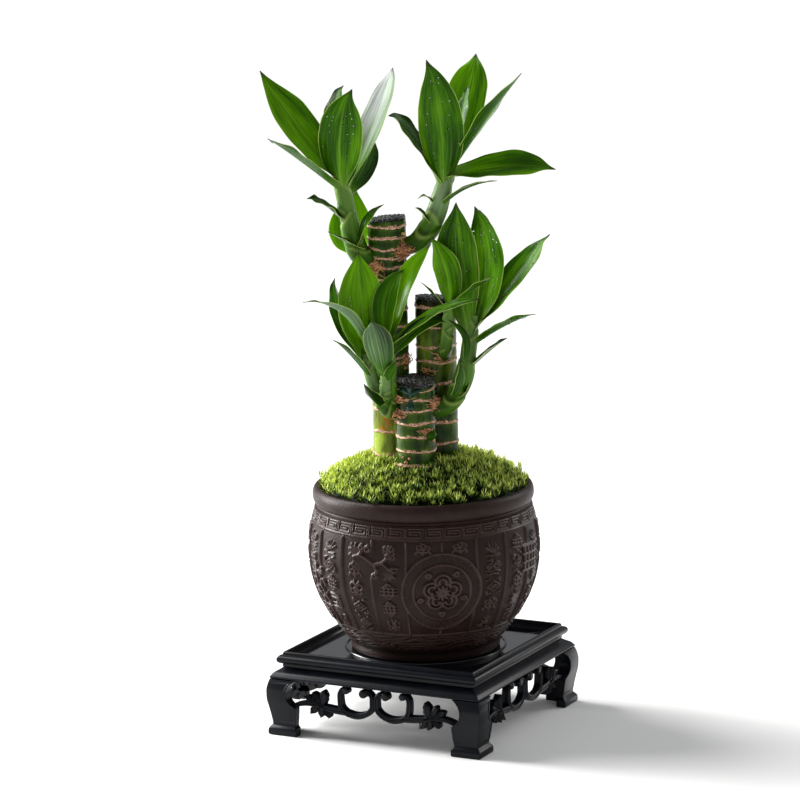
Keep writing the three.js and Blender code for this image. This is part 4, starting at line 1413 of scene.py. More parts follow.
@dataclass
class Ground:
    """Mound of soil and its carpet of moss."""

    soil: Soil = field(default_factory=Soil)
    green: MossGreen = field(default_factory=MossGreen)
    edge: float = 73.3
    edge_height: float = 169.5
    mound: float = 21.3
    rear_slope: float = 0.06
    thickness: float = 7.2
    tuft_pitch: float = 4.9
    tuft_leaflets: int = 25

    def top(self, x: Array, y: Array) -> Array:
        """Height of the moss: a flattened dome that rises to the back, with lumps of sines and noise.

        Args:
            x: to the right.
            y: away from the front.

        Returns:
            Height at each point.
        """
        r = np.hypot(x, y)
        full = 1 - np.minimum(r / 72.9, 1) ** 2.8
        lump = 1.1 * np.sin(x / 7.1 + 1.3 * np.sin(y / 9)) * np.cos(y / 6.3 - 0.8 * np.sin(x / 11))
        fine = 0.7 * noise(x / 4.2, y / 4.2)
        body = self.thickness * (1 - 0.25 * np.minimum(r / self.edge, 1) ** 8)
        return self.edge_height + (self.mound + self.rear_slope * y) * full + body + lump + fine

    def bed(self, name: str, finish: Finish, slot: str, node: str, lift: float, under: float,
            edge: float) -> None:
        """A closed dome: the moss's top moved by lift, over a flat underside.

        Args:
            name: the piece's name.
            finish: its finish.
            slot: its material slot.
            node: the CAD node that it stands for.
            lift: height added to the moss's top.
            under: height of the underside.
            edge: radius.
        """
        radii = np.linspace(0, 1, 40) ** 0.8 * edge
        rings = revolved(np.stack([radii, 0 * radii], axis=1), 120)
        rings[..., 2] = self.top(rings[..., 0], rings[..., 1]) + lift
        low = rings[::-1][[0, -1]].copy()
        low[..., 2] = under
        whole = np.concatenate([low[::-1], rings[::-1]])
        made = Surface(("height",))
        made.shell(whole, height=0.0)
        made.piece(name, finish, slot, [node], welded=True)

    def roots(self) -> Array:
        """Places of the tufts: a staggered grid with jitter, inside the rim and clear of the canes.

        Returns:
            One row for each tuft.
        """
        draw = np.random.default_rng(3)
        reach = self.edge + 2.7
        columns = np.arange(-reach, reach, self.tuft_pitch)
        rows = np.arange(-reach, reach, self.tuft_pitch * 0.87)
        x, y = np.meshgrid(columns, rows)
        x = x + (np.arange(len(rows)) % 2)[:, None] * self.tuft_pitch / 2
        spots = np.stack([x.ravel(), y.ravel()], axis=1) + draw.uniform(-0.8, 0.8, (x.size, 2))
        keep = np.hypot(spots[:, 0], spots[:, 1]) < self.edge - 0.3
        for cane in CANES.values():
            keep &= np.linalg.norm(spots - cane.foot, axis=1) > cane.radius + 0.6
        return spots[keep]

    def tufts(self) -> None:
        """Leaflets in stars: a tuft's leaflets leave its upright stem, the upper ones steeper and lighter,
        the lower ones darker with painted shade.

        A leaflet is two points at its root, two in the middle and one tip, and bends up towards the tip. Real
        ones are finer than 0.3 mm, and these are 0.7 to 1 mm wide, so that each one shows.
        """
        draw = np.random.default_rng(8)
        roots = self.roots()
        x, y = roots.T
        bright = draw.normal(0, 0.1, len(roots)) + 0.12 * noise(x / 9, y / 9)
        # Painted shade over the front middle, and painted light that rises towards the back and the left
        shaded = np.exp(-((x / 38) ** 2) - ((y + 38) / 26) ** 2)
        bright = bright + 0.14 + 0.0025 * y - 0.001 * x - 0.44 * shaded
        tall = 3.2 + 1.6 * noise(x / 7 + 9, y / 7) + draw.uniform(-1.2, 1.2, len(roots))
        tall = tall + 2.6 * smoothstep(60, 72, np.hypot(x, y))
        lean = draw.normal(0, 0.55, (len(roots), 2)) + roots / self.edge * 0.3
        which = np.repeat(np.arange(len(roots)), self.tuft_leaflets)
        count = len(which)
        order = np.tile((np.arange(self.tuft_leaflets) + 0.5) / self.tuft_leaflets, len(roots))
        turn = np.arange(count) * 2.4 + draw.uniform(-0.4, 0.4, count)
        slant = np.radians(86 - 60 * order**1.2 + draw.uniform(-14, 14, count))
        length = draw.uniform(4.6, 7.8, count) * (1.05 - 0.32 * order)
        width = draw.uniform(0.7, 1.0, count)
        up = (order * tall[which])[:, None]
        base = roots[which] + lean[which] * up
        ground = self.top(x, y)[which] - 2.2
        foot = np.column_stack([base, ground + up[:, 0]])
        out = np.stack([np.cos(turn), np.sin(turn), 0 * turn], axis=1)
        rise = np.array([0, 0, 1.0])
        along = out * np.sin(slant)[:, None] + rise * np.cos(slant)[:, None]
        side = np.stack([-np.sin(turn), np.cos(turn), 0 * turn], axis=1) * width[:, None] / 2
        middle = foot + along * (length * 0.55)[:, None]
        tip = foot + along * length[:, None] + rise * (0.22 * length)[:, None]
        points = np.stack([foot - side * 0.7, foot + side * 0.7, middle + side, middle - side, tip], axis=1)
        start = np.arange(count)[:, None] * 5
        # Lower leaflets darker and upper ones lighter: painted shade deep in the tuft, with random tone and
        # the tuft's painted light and shade
        tone = (1.05 * order - 0.55 + bright[which] + draw.normal(0, 0.28, count))[:, None]
        height = np.clip(np.array([0.0, 0.0, 0.44, 0.44, 1.05]) + tone, 0, 1)
        for number, half in enumerate(np.array_split(np.arange(count), 2)):
            made = Surface(("height",))
            part = start[: len(half)]
            made.add(points[half], part + [0, 1, 2, 3], part + [3, 2, 4], outward=False, height=height[half])
            made.piece(f"Moss tufts {number + 1}", self.green, "moss", crease=180)

    def build(self) -> None:
        """Build soil, moss bed and tufts."""
        self.bed("Soil", self.soil, "soil", "soil", -9, 70, 60)
        # The moss bed's height value is 0, so it takes the near-black root colour: painted shade between the
        # tufts.
        self.bed("Moss bed", self.green, "moss", "moss", -1.6, 170.5, self.edge)
        self.tufts()


# Canes


@dataclass(frozen=True)
class Cane:
    """A cut cane: axis, radius, sloping top and leaf scars."""

    foot: tuple[float, float]
    head: tuple[float, float]
    radius: float
    top: float
    slope: tuple[float, float]
    scars: tuple[float, ...]
    pale: tuple[tuple[float, float], ...]  # height and share of yellow-green
    seed: int
    rusty: bool = False  # has a rust-coloured stain on its front
    soiled: bool = False  # is dark brown just under its cut
    bottom: float = 112.0

    def axis(self, z: Array) -> Array:
        """Centre of the cane at each height, on a straight line from foot to head."""
        share = np.asarray(z - self.bottom)[..., None] / (self.top - self.bottom)
        return self.foot + share * (np.array(self.head) - self.foot)

    def skin(self, finish: CaneBark, name: str) -> None:
        """Closed skin: radius plus a slight waist, plus a ragged ridge on a wavy line at each scar.

        Args:
            finish: its finish.
            name: the cane's name.
        """
        columns = 84
        offsets = np.array([-2.6, -1.7, -1.15, -0.8, -0.5, -0.22, 0, 0.22, 0.5, 0.8, 1.15, 1.7, 2.6])
        close = (np.array(self.scars)[:, None] + offsets).ravel()
        even = np.arange(self.bottom, self.top - 0.5, 2.4)
        z = np.unique(np.round(np.concatenate([close, even, [self.top]]), 2))
        z = z[(z <= self.top) & (z >= self.bottom)]
        z = z[np.concatenate([[True], np.diff(z) > 0.1])]
        turn = np.linspace(0, 2 * np.pi, columns, endpoint=False)
        angle, height = np.meshgrid(turn, z)
        nearest = np.argmin(np.abs(z[:, None] - np.array(self.scars)), axis=1)
        scar = np.array(self.scars)[nearest]
        away = (z - scar)[:, None]
        ring = nearest[:, None] * 3.7 + self.seed
        cx, cy = np.cos(angle), np.sin(angle)
        wander = 1.0 * noise(cx * 1.3 + ring, cy * 1.3 + ring) + 0.35 * noise(cx * 5 + ring, cy * 5 - ring)
        wander = wander * np.exp(-((away / 5) ** 2))
        ragged = 0.5 * noise(cx * 9 + ring, cy * 9, height * 0.8) + 0.25 * noise(cx * 22, cy * 22, height)
        ragged = 0.65 + ragged
        ridge = np.exp(-((away / (0.55 + 0.3 * np.clip(ragged, 0, 1))) ** 2))
        second = np.exp(-(((away - 1.25) / 0.35) ** 2)) * (noise(cx * 3 + ring, cy * 3 + 5) > 0.1)
        raised = 0.85 * ridge * np.clip(ragged, 0.15, 1.2) + 0.35 * second
        waist = -0.22 * np.cos(np.clip(np.abs(away) / 7, 0, 1) * np.pi)
        lump = 0.22 * noise(cx * 1.6 + self.seed, cy * 1.6, height / 9)
        radius = self.radius - 0.15 + raised + waist * 0.5 + lump
        centre = self.axis(z)[:, None]
        x, y = radius * cx, radius * cy
        lean = smoothstep(self.top - 6, self.top, z)[:, None]
        up = height + wander + lean * (self.slope[0] * x + self.slope[1] * y)
        points = np.stack([centre[..., 0] + x, centre[..., 1] + y, up], axis=-1)
        mask = np.clip(ridge * (0.75 + 0.5 * ragged) + 0.7 * second, 0, 1)
        pale = curve(self.pale, z)[:, None] * (1 + 0.7 * noise(cx * 1.7, cy * 1.7, height / 11))
        pale = pale + 0.06 * noise(cx * 2, cy * 2, height / 8)
        edge = 0.1 * np.exp(-((np.abs(away) - 1.6) ** 2) / 0.8)
        patch = np.exp(-(((height - 223) / 5) ** 2) - ((cx + 0.3) / 0.3) ** 2)
        torn = smoothstep(-0.15, 0.35, noise(cx * 6, cy * 6, height / 2.2))
        stain = self.rusty * (cy < 0) * patch * torn * 1.3
        # dark brown over the top of the middle cane, under its cut
        top_darkening = smoothstep(286, 297, height + 6 * noise(cx * 2, cy * 2, height / 9))
        made = Surface(("scar", "pale", "rust", "soiled"))
        made.sweep(points, scar=mask, pale=np.clip(pale + edge, 0, 1),
                   rust=np.clip(stain * (1 + ragged), 0, 1), soiled=self.soiled * 0.85 * top_darkening)
        made.piece(f"Cane {name}", finish, "cane", [f"cane_{name}"], crease=60)

    def seal(self, finish: Wax, name: str) -> None:
        """Wax over the cut: a low drum whose top is lumpy with grit.

        Args:
            finish: its finish.
            name: the cane's name.
        """
        columns = 72
        r = np.concatenate([[0, self.radius - 0.6], np.full(3, self.radius - 0.35),
                            np.linspace(self.radius - 0.7, 0.0, 22)])
        lift = np.concatenate([[0.2, 0.2, 0.6, 1.2, 1.7], np.full(22, 2.3)])
        angle, radius = np.meshgrid(np.linspace(0, 2 * np.pi, columns, endpoint=False), r)
        x, y = radius * np.cos(angle), radius * np.sin(angle)
        grit = 0.75 * noise(x / 1.1, y / 1.1, self.seed) + 0.5 * noise(x / 2.6, y / 2.6, self.seed + 3)
        body = np.arange(len(r))[:, None] > 1
        ragged = 0.35 * noise(np.cos(angle) * 6, np.sin(angle) * 6, self.seed) * body
        z = self.top + lift[:, None] + np.where(body, 0.75 * grit, 0) + self.slope[0] * x + self.slope[1] * y
        wider = 1 + ragged / 14
        made = Surface()
        made.shell(np.stack([self.head[0] + x * wider, self.head[1] + y * wider, z], axis=-1))
        made.piece(f"Wax {name}", finish, "black_wax", [f"seal_{name}"], crease=70, welded=True)


class CaneName(Enum):
    """The three canes."""

    TALL = "tall"
    MIDDLE = "middle"
    SHORT = "short"


TALL, MIDDLE, SHORT = CaneName

CANES = {
    TALL: Cane((-21.5, 6), (-23, 6), 14, 370.5, (0.1, -0.04),
               (200, 217, 233, 249, 267, 271.5, 284, 294, 305.5, 315.5, 329.5, 337, 344.5, 351, 358.5, 366.5),
               ((112, 0.75), (215, 0.7), (240, 0.3), (280, 0.05), (330, 0.03), (372, 0.02)), 1, rusty=True),
    MIDDLE: Cane((11.8, 7), (11.2, 7), 15, 311.5, (-0.06, -0.05),
                 (207, 222.5, 237, 251.5, 267.5, 278.5, 293, 307.5),
                 ((112, 0.02), (200, 0.03), (235, 0.08), (262, 0.17), (285, 0.2), (300, 0.04), (312, 0.01)),
                 2, soiled=True),
    SHORT: Cane((-4.6, -20), (-4.4, -20), 14.4, 255.5, (0.02, 0.16),
                (196, 207, 217.5, 227.5, 236.5, 244.5, 252.5),
                ((112, 0.02), (195, 0.03), (215, 0.06), (235, 0.02), (256, 0.01)), 3),
}


# Shoots


class Tone(Enum):
    """How light a leaf is, partly its own green and partly painted light and shade for how it is lit, and how
    much painted sheen it carries.
    """

    DEEP = (0.12, 0.0)
    DUSKY = (0.28, 0.05)
    MID = (0.48, 0.0)
    FRESH = (0.74, 0.0)
    BRIGHT = (0.92, 0.0)
    GREY = (0.36, 0.14)
    # Full painted sheen, on the upper skin
    PAINTED_SHEEN = (0.6, 1.0)


# Share of a leaf's half width and of its fold along its length
LEAF_OUTLINE = ((0, 0.34), (0.14, 0.58), (0.3, 0.9), (0.46, 1.01), (0.6, 0.96), (0.76, 0.69), (0.88, 0.34),
                (0.945, 0.14), (1, 0.012))
LEAF_FOLD = ((0, 1), (0.32, 1), (0.52, 0.9), (0.73, 0.7), (0.9, 0.45), (1, 0.2))


@dataclass(frozen=True)
class Leaf:
    """A leaf blade by three points of its midrib, its width, the way its upper face looks and its fold."""

    root: Point
    mid: Point
    tip: Point
    width: float
    face: Point
    fold: float
    tone: Tone = Tone.MID
    wave: float = 0.95
    drops: int = 0

    def blade(self, t: Array, s: Array, seed: int) -> tuple[Array, Array]:
        """Points of the blade's middle skin and the way its upper face looks there.

        The midrib is a quadratic curve through the three points. Each half is lifted by the fold, rounded at
        the midrib; the root clasps its stem, and the margins wave as a sine of the length.

        Args:
            t: share of the length.
            s: share of the half width, from -1 to 1.
            seed: number that sets the wave's place.

        Returns:
            Points and unit vectors.
        """
        start, middle, end = (np.array(p, float) for p in (self.root, self.mid, self.tip))
        handle = 2 * middle - (start + end) / 2
        u = t[..., None]
        place = (1 - u) ** 2 * start + 2 * u * (1 - u) * handle + u**2 * end
        heading = unit((1 - u) * (handle - start) + u * (end - handle))
        right = unit(np.cross(heading, np.array(self.face, float)))
        up = np.cross(right, heading)
        half = curve(LEAF_OUTLINE, t) * self.width / 2
        fold = np.radians(self.fold * curve(LEAF_FOLD, t))
        clasp = 0.8 * np.exp(-((t / 0.13) ** 2))
        lift = half * (np.sin(fold) * (np.sqrt(s**2 + 0.03) - 0.173) + clasp * s**2)
        phase = seed * 1.9
        swell = self.wave * smoothstep(0.15, 0.4, t) * (1 - smoothstep(0.85, 1, t))
        ripple = np.sin(t * 9.5 + phase + np.sign(s) * 1.1) + 0.5 * np.sin(t * 23 + 2 * phase - np.sign(s))
        lift = lift + swell * np.abs(s) ** 3 * ripple
        sideways = half * s * (np.cos(fold) - 0.3 * clasp * s**2)
        curl = 0.022 * self.length * smoothstep(0.84, 1.0, t) ** 1.5 * math.sin(2.3 * seed + 0.7)
        sideways = sideways + curl + 0.25 * swell * np.sin(t * 14 + phase) * s**2 * np.sign(s)
        lift = lift - 0.6 * np.abs(curl)
        return place + right * sideways[..., None] + up * lift[..., None], up

    def add_to(self, made: Surface, seed: int) -> None:
        """Add the blade to a shoot: upper and lower skin around one closed edge.

        Args:
            made: the shoot's surface.
            seed: number that sets the leaf's small differences.
        """
        rows, half = 34, 9
        s_top = np.sin(np.linspace(-1, 1, 2 * half + 1) * np.pi / 2)
        across = np.concatenate([s_top, s_top[::-1][1:-1]])
        side = np.concatenate([np.ones(2 * half + 1), -np.ones(2 * half - 1)])
        side[[0, 2 * half]] = 0
        t, s = np.meshgrid(np.linspace(0, 1, rows) ** 0.95, across, indexing="ij")
        point, up = self.blade(t, s, seed)
        thick = (0.16 + 0.3 * (1 - np.abs(s)) * (1 - 0.6 * t)) * side
        points = point + up * thick[..., None]
        bright, silver = self.tone.value
        place = np.stack([s * self.width / 20 + seed * 3.3, t * self.length / 10], axis=-1)
        dry = 0.9 * smoothstep(0.9, 1.0, t) + 0.35 * smoothstep(0.8, 1.0, t) * smoothstep(0.8, 1.0, np.abs(s))
        lit_half = s * (seed % 2 * 2 - 1)
        # The full painted sheen is weaker on the lower skin
        if self.tone is Tone.PAINTED_SHEEN:
            silver = silver * (0.65 + 0.35 * side)
        made.sweep(
            points, place, 0.5, tone=bright + 0.16 * (0.6 - t) + 0.07 * (side > 0) + 0.14 * lit_half,
            silver=silver * smoothstep(0.1, 0.4, t) * np.clip(0.75 + 0.5 * lit_half, 0, 1),
            stem=0.6 * (1 - smoothstep(0.0, 0.22, t)), across=s, dry=np.clip(dry, 0, 1),
        )

    @property
    def length(self) -> float:
        """Rough length of the midrib."""
        root, mid, tip = (np.array(p, float) for p in (self.root, self.mid, self.tip))
        return float(np.linalg.norm(mid - root) + np.linalg.norm(tip - mid))

    def add_drops(self, made: Surface, seed: int) -> None:
        """Add flattened water drops on the side of the blade that faces the plant's front.

        Args:
            made: surface that collects the drops.
            seed: the leaf's number.
        """
        draw = np.random.default_rng(seed + 40)
        ball = revolved(arc(0, 0, 1, -90, 90, 5), 9)
        for _ in range(3 * self.drops):
            t, s = np.array([draw.uniform(0.12, 0.85)]), np.array([draw.uniform(-0.8, 0.8)])
            point, up = self.blade(t, s, seed)
            normal = up[0] * (1 if up[0, 1] < 0 else -1)
            size = draw.uniform(0.3, 0.95)
            side = unit(np.cross(normal, [0.0, 0.2, 1.0]))
            over = np.cross(side, normal)
            shape = ball @ np.stack([side, over * 1.15, normal * 0.42])
            made.sweep(point[0] + normal * 0.45 + size * shape)


LEAF_TRAITS = ("tone", "silver", "stem", "margin", "dry", "across")


@dataclass(frozen=True)
class Shoot:
    """A leafy shoot: stems, each with points and radii, and leaves."""

    name: str
    stems: tuple
    leaves: tuple[Leaf, ...]
    stem_bloom_and_sheen: float = 0.05
    sheaths: float = 3.4

    def build(self, skin: LeafSkin, drops: Surface, first: int) -> None:
        """Build the shoot as one piece and add its water drops.

        Args:
            skin: the leaves' finish.
            drops: surface that collects the water drops.
            first: number of its first leaf, which sets the leaves' small differences.
        """
        made = Surface(LEAF_TRAITS)
        for number, (knots, radii) in enumerate(self.stems):
            steps, sides = 18 * (len(knots) - 1), 32
            line = path(knots, steps)
            radius = spaced(radii, steps)
            rings = tube(line, 1.0, sides) - line[:, None]
            along, around = np.meshgrid(np.linspace(0, 1, steps), np.arange(sides) / sides, indexing="ij")
            twist = 2 * np.pi * around + 2.1 * first + np.pi * np.floor(along * self.sheaths + 0.3 * number)
            sheath = (along * self.sheaths + 0.3 * number + 0.3 * np.cos(twist)) % 1
            lip = smoothstep(0.0, 0.82, sheath) * (1 - smoothstep(0.92, 1.0, sheath))
            rings = line[:, None] + rings * (radius[:, None] * (0.92 + 0.1 * lip))[..., None]
            place = np.stack([around * 5, along * 6], axis=-1)
            seam = smoothstep(0.78, 0.88, sheath) * (1 - smoothstep(0.9, 0.97, sheath))
            # Painted shade: darker and browner in the hollow where one sheath's lip overlaps the next
            hollow_shade = smoothstep(0.9, 1.0, sheath) + 1 - smoothstep(0, 0.12, sheath)
            made.sweep(
                rings, place, tone=0.14 + 0.36 * along - 0.16 * hollow_shade,
                # pale bloom towards the top of the stem, partly real and partly painted sheen
                silver=self.stem_bloom_and_sheen * smoothstep(0.35, 0.7, along), margin=0.3 * seam, dry=0.12 * hollow_shade,
                stem=(0.06 + 0.54 * along**1.4) * (1 - 0.5 * hollow_shade), across=np.full(along.shape, 0.5),
            )
        for number, leaf in enumerate(self.leaves):
            leaf.add_to(made, first + number)
            leaf.add_drops(drops, first + number)
        title = self.name.replace("_", " ").capitalize()
        made.piece(title, skin, "leaf", [self.name], crease=75)


TALL_LEFT_LEAVES = (
    Leaf((-57, -1, 402), (-85, 3, 440), (-113, 15, 479), 28, (0.4, -0.9, 0.3), 20, Tone.FRESH, 0.8),
    Leaf((-55, -5, 393), (-85, -18, 419), (-106, -30, 436), 19, (0.45, 0.25, 0.85), 30, Tone.GREY),
    Leaf((-54, -5, 393), (-55, -20, 435), (-47, -24, 470), 33, (0.1, 1, 0.1), 16, Tone.MID, 1.0, 9),
    Leaf((-57, 1, 408), (-59, 18, 444), (-54, 32, 466), 20, (-0.6, -0.8, 0), 18, Tone.DEEP),
    Leaf((-52, 0, 392), (-29, 10, 445), (-16, 24, 479), 23, (-0.6, -0.7, 0.3), 18, Tone.PAINTED_SHEEN, 0.5),
    Leaf((-51, 2, 390), (-38, 17, 409), (-31, 32, 426), 17, (0.3, 0.9, 0.3), 20, Tone.DUSKY),
    Leaf((-51, -3, 368), (-67, -12, 385), (-79, -20, 391), 13, (0.2, -0.3, 0.9), 22, Tone.DEEP),
    Leaf((-45, 5, 341), (-49, 31, 360), (-44, 46, 388), 33, (0, -0.75, 0.65), 14, Tone.BRIGHT),
    Leaf((-40, -5, 350), (-52, -13, 358), (-65, -20, 367), 9, (0.1, -0.2, 1), 24, Tone.DEEP, 0.3),
    Leaf((-43, -5, 352), (-37, -14, 372), (-25, -18, 386), 11, (-0.8, -0.4, 0.4), 24, Tone.DEEP, 0.3),
)
TALL_RIGHT_LEAVES = (
    Leaf((16, -3, 396), (-4, -14, 434), (-20, -25, 452), 18, (0.5, -0.5, 0.7), 20, Tone.DEEP),
    Leaf((18, -4, 392), (17, -18, 442), (9, -24, 490), 33, (0, 1, 0.1), 16, Tone.MID, 0.9, 8),
    Leaf((25, 1, 410), (36, 18, 456), (44, 38, 486), 30, (-0.2, -1, 0.2), 14, Tone.FRESH),
    Leaf((25, -1, 410), (33, 6, 447), (38, 12, 466), 12, (-0.7, -0.7, 0), 24, Tone.GREY),
    Leaf((23, -2, 404), (50, -12, 445), (75, -26, 480), 22, (-0.6, 0.4, 0.65), 20, Tone.MID, 0.8, 3),
    Leaf((22, -3, 402), (64, -20, 412), (97, -38, 411), 25, (0, -0.68, 0.73), 18, Tone.MID),
    Leaf((16, -4, 380), (34, -14, 395), (56, -24, 402), 13, (-0.3, 0.1, 0.95), 24, Tone.DUSKY, 0.4),
    Leaf((12, -3, 382), (6, -7, 389), (0, -9, 388), 6, (0.1, 0, 1), 20, Tone.DEEP, 0.2),
    Leaf((8, -4, 367), (3, -9, 377), (-2, -11, 382), 7, (0.5, -0.3, 0.8), 20, Tone.DEEP, 0.2),
)
MIDDLE_FRONT_LEAVES = (
    Leaf((20, -17, 306), (20, -23, 334), (9, -20, 362), 24, (0.1, 1, 0.1), 40, Tone.FRESH, 0.8, 6),
    Leaf((20, -18, 308), (38, -27, 324), (53, -36, 335), 11, (0, 0.1, 1), 22, Tone.MID, 0.6, 4),
    Leaf((19, -18, 307), (9, -24, 321), (1, -30, 331), 7, (0.3, 0, 0.9), 20, Tone.DEEP, 0.3),
)
SHORT_RIGHT_LEAVES = (
    Leaf((35, -12, 287), (27, -12, 342), (29, -12, 385), 31, (0.05, 1, 0), 8, Tone.MID, 0.5, 14),
    Leaf((37, -9, 288), (48, 6, 336), (41, 16, 378), 34, (-0.5, -0.85, 0.1), 14, Tone.MID, 0.8, 22),
    Leaf((38, -7, 296), (45, 22, 344), (46, 40, 372), 20, (0, -0.8, 0.5), 20, Tone.DEEP),
    Leaf((38, -8, 290), (69, -2, 328), (93, 8, 359), 24, (-0.6, -0.6, 0.5), 22, Tone.MID, 0.9, 4),
    Leaf((36, -11, 279), (60, -21, 296), (82, -32, 307), 16, (-0.1, 0.3, 0.95), 24, Tone.MID, 0.7, 8),
    Leaf((33, -14, 262), (49, -23, 278), (62, -34, 290), 14, (-0.4, -0.1, 0.9), 22, Tone.DUSKY, 0.4),
    Leaf((29, -18, 264), (32, -24, 288), (19, -25, 302), 6, (0.3, -0.9, 0.3), 20, Tone.DEEP, 0.3),
    Leaf((25, -20, 244), (31, -25, 249), (34, -26, 256), 8, (-0.5, -0.3, 0.8), 20, Tone.DEEP, 0.2),
    Leaf((20, -21, 241), (30, -27, 256), (27, -22, 273), 14, (-0.8, 0.6, 0.2), 34, Tone.DUSKY, 0.3, 3),
)
SHORT_LEFT_LEAVES = (
    Leaf((-39, -20, 273), (-42, -15, 312), (-44, -13, 351), 35, (0.05, -1, 0.1), 12, Tone.BRIGHT, 0.8, 5),
    Leaf((-37, -23, 273), (-54, -31, 308), (-84, -44, 321), 18, (0.3, 0.35, 0.9), 22, Tone.GREY, 0.7),
    Leaf((-23, -22, 284), (-23, -20, 315), (-12, -18, 339), 23, (-0.5, -0.8, 0.3), 34, Tone.MID, 0.6),
    Leaf((-22, -22, 280), (-12, -18, 324), (9, -17, 356), 19, (-0.5, -0.75, 0.4), 22, Tone.BRIGHT, 0.5),
    Leaf((-26, -30, 258), (-31, -38, 287), (-35, -40, 305), 23, (0.1, 1, 0.3), 26, Tone.GREY, 0.5),
    Leaf((-39, -20, 272), (-57, -8, 303), (-63, 6, 329), 14, (-0.3, -0.95, 0), 18, Tone.DEEP),
    Leaf((-34, -23, 255), (-49, -31, 277), (-63, -42, 293), 13, (0.3, 0.2, 0.9), 22, Tone.DUSKY, 0.5),
    Leaf((-26, -30, 256), (-22, -35, 266), (-18, -33, 274), 9, (-0.3, 0.9, 0.2), 34, Tone.MID, 0.2),
    Leaf((-26, -24, 237), (-35, -31, 246), (-41, -36, 259), 14, (0.6, 0.75, 0.3), 34, Tone.DEEP, 0.3),
    Leaf((-23, -24, 280), (7, -37, 307), (43, -48, 321), 15, (-0.25, -0.35, 0.9), 20, Tone.MID, 0.8, 9),
    Leaf((-23, -25, 274), (-1, -34, 298), (18, -40, 304), 13, (0.2, -0.65, 0.7), 22, Tone.DEEP, 0.6),
)

SHOOTS = (
    Shoot(
        "shoot_tall_left",
        ((((-30, 5, 338), (-41, 1, 345), (-47, -1, 358), (-50, -2, 372), (-53, -2, 388), (-58, 0, 412)),
          (8, 8.4, 7.4, 6.6, 6, 3)),),
        TALL_LEFT_LEAVES,
    ),
    Shoot(
        "shoot_tall_right",
        ((((-13, 4, 350), (-2, 3, 354), (7, 1, 364), (13, 0, 377), (18, -1, 393), (26, -1, 415)),
          (6.5, 7.6, 8.2, 7.2, 5.8, 3)),),
        TALL_RIGHT_LEAVES,
        stem_bloom_and_sheen=0.3, sheaths=2.5,
    ),
    Shoot(
        "shoot_middle_front",
        ((((17, -3, 272), (18, -13, 281), (20, -16, 296), (20, -18, 312)), (5.5, 5, 4.6, 3.2)),),
        MIDDLE_FRONT_LEAVES,
    ),
    Shoot(
        "shoot_short_right",
        ((((6, -20, 235), (17, -21, 238), (27, -18, 250), (33, -13, 267), (36, -10, 285), (39, -8, 302)),
          (6.2, 7, 7.4, 6.4, 5.6, 3.2)),),
        SHORT_RIGHT_LEAVES,
        stem_bloom_and_sheen=0.1,
    ),
    Shoot(
        "shoot_short_left",
        (
            (((-14, -21, 232), (-23, -22, 236), (-30, -22, 246), (-35, -22, 258), (-40, -21, 278)),
             (5.6, 6.4, 5.6, 4.8, 3.4)),
            (((-24, -21, 239), (-26, -27, 249), (-26, -30, 264)), (4.2, 4.6, 3.8)),
            (((-20, -20, 236), (-22, -25, 256), (-22, -23, 274), (-23, -22, 290)), (4.4, 4.7, 4.1, 3)),
        ),
        SHORT_LEFT_LEAVES,
        stem_bloom_and_sheen=0.15,
    ),
)


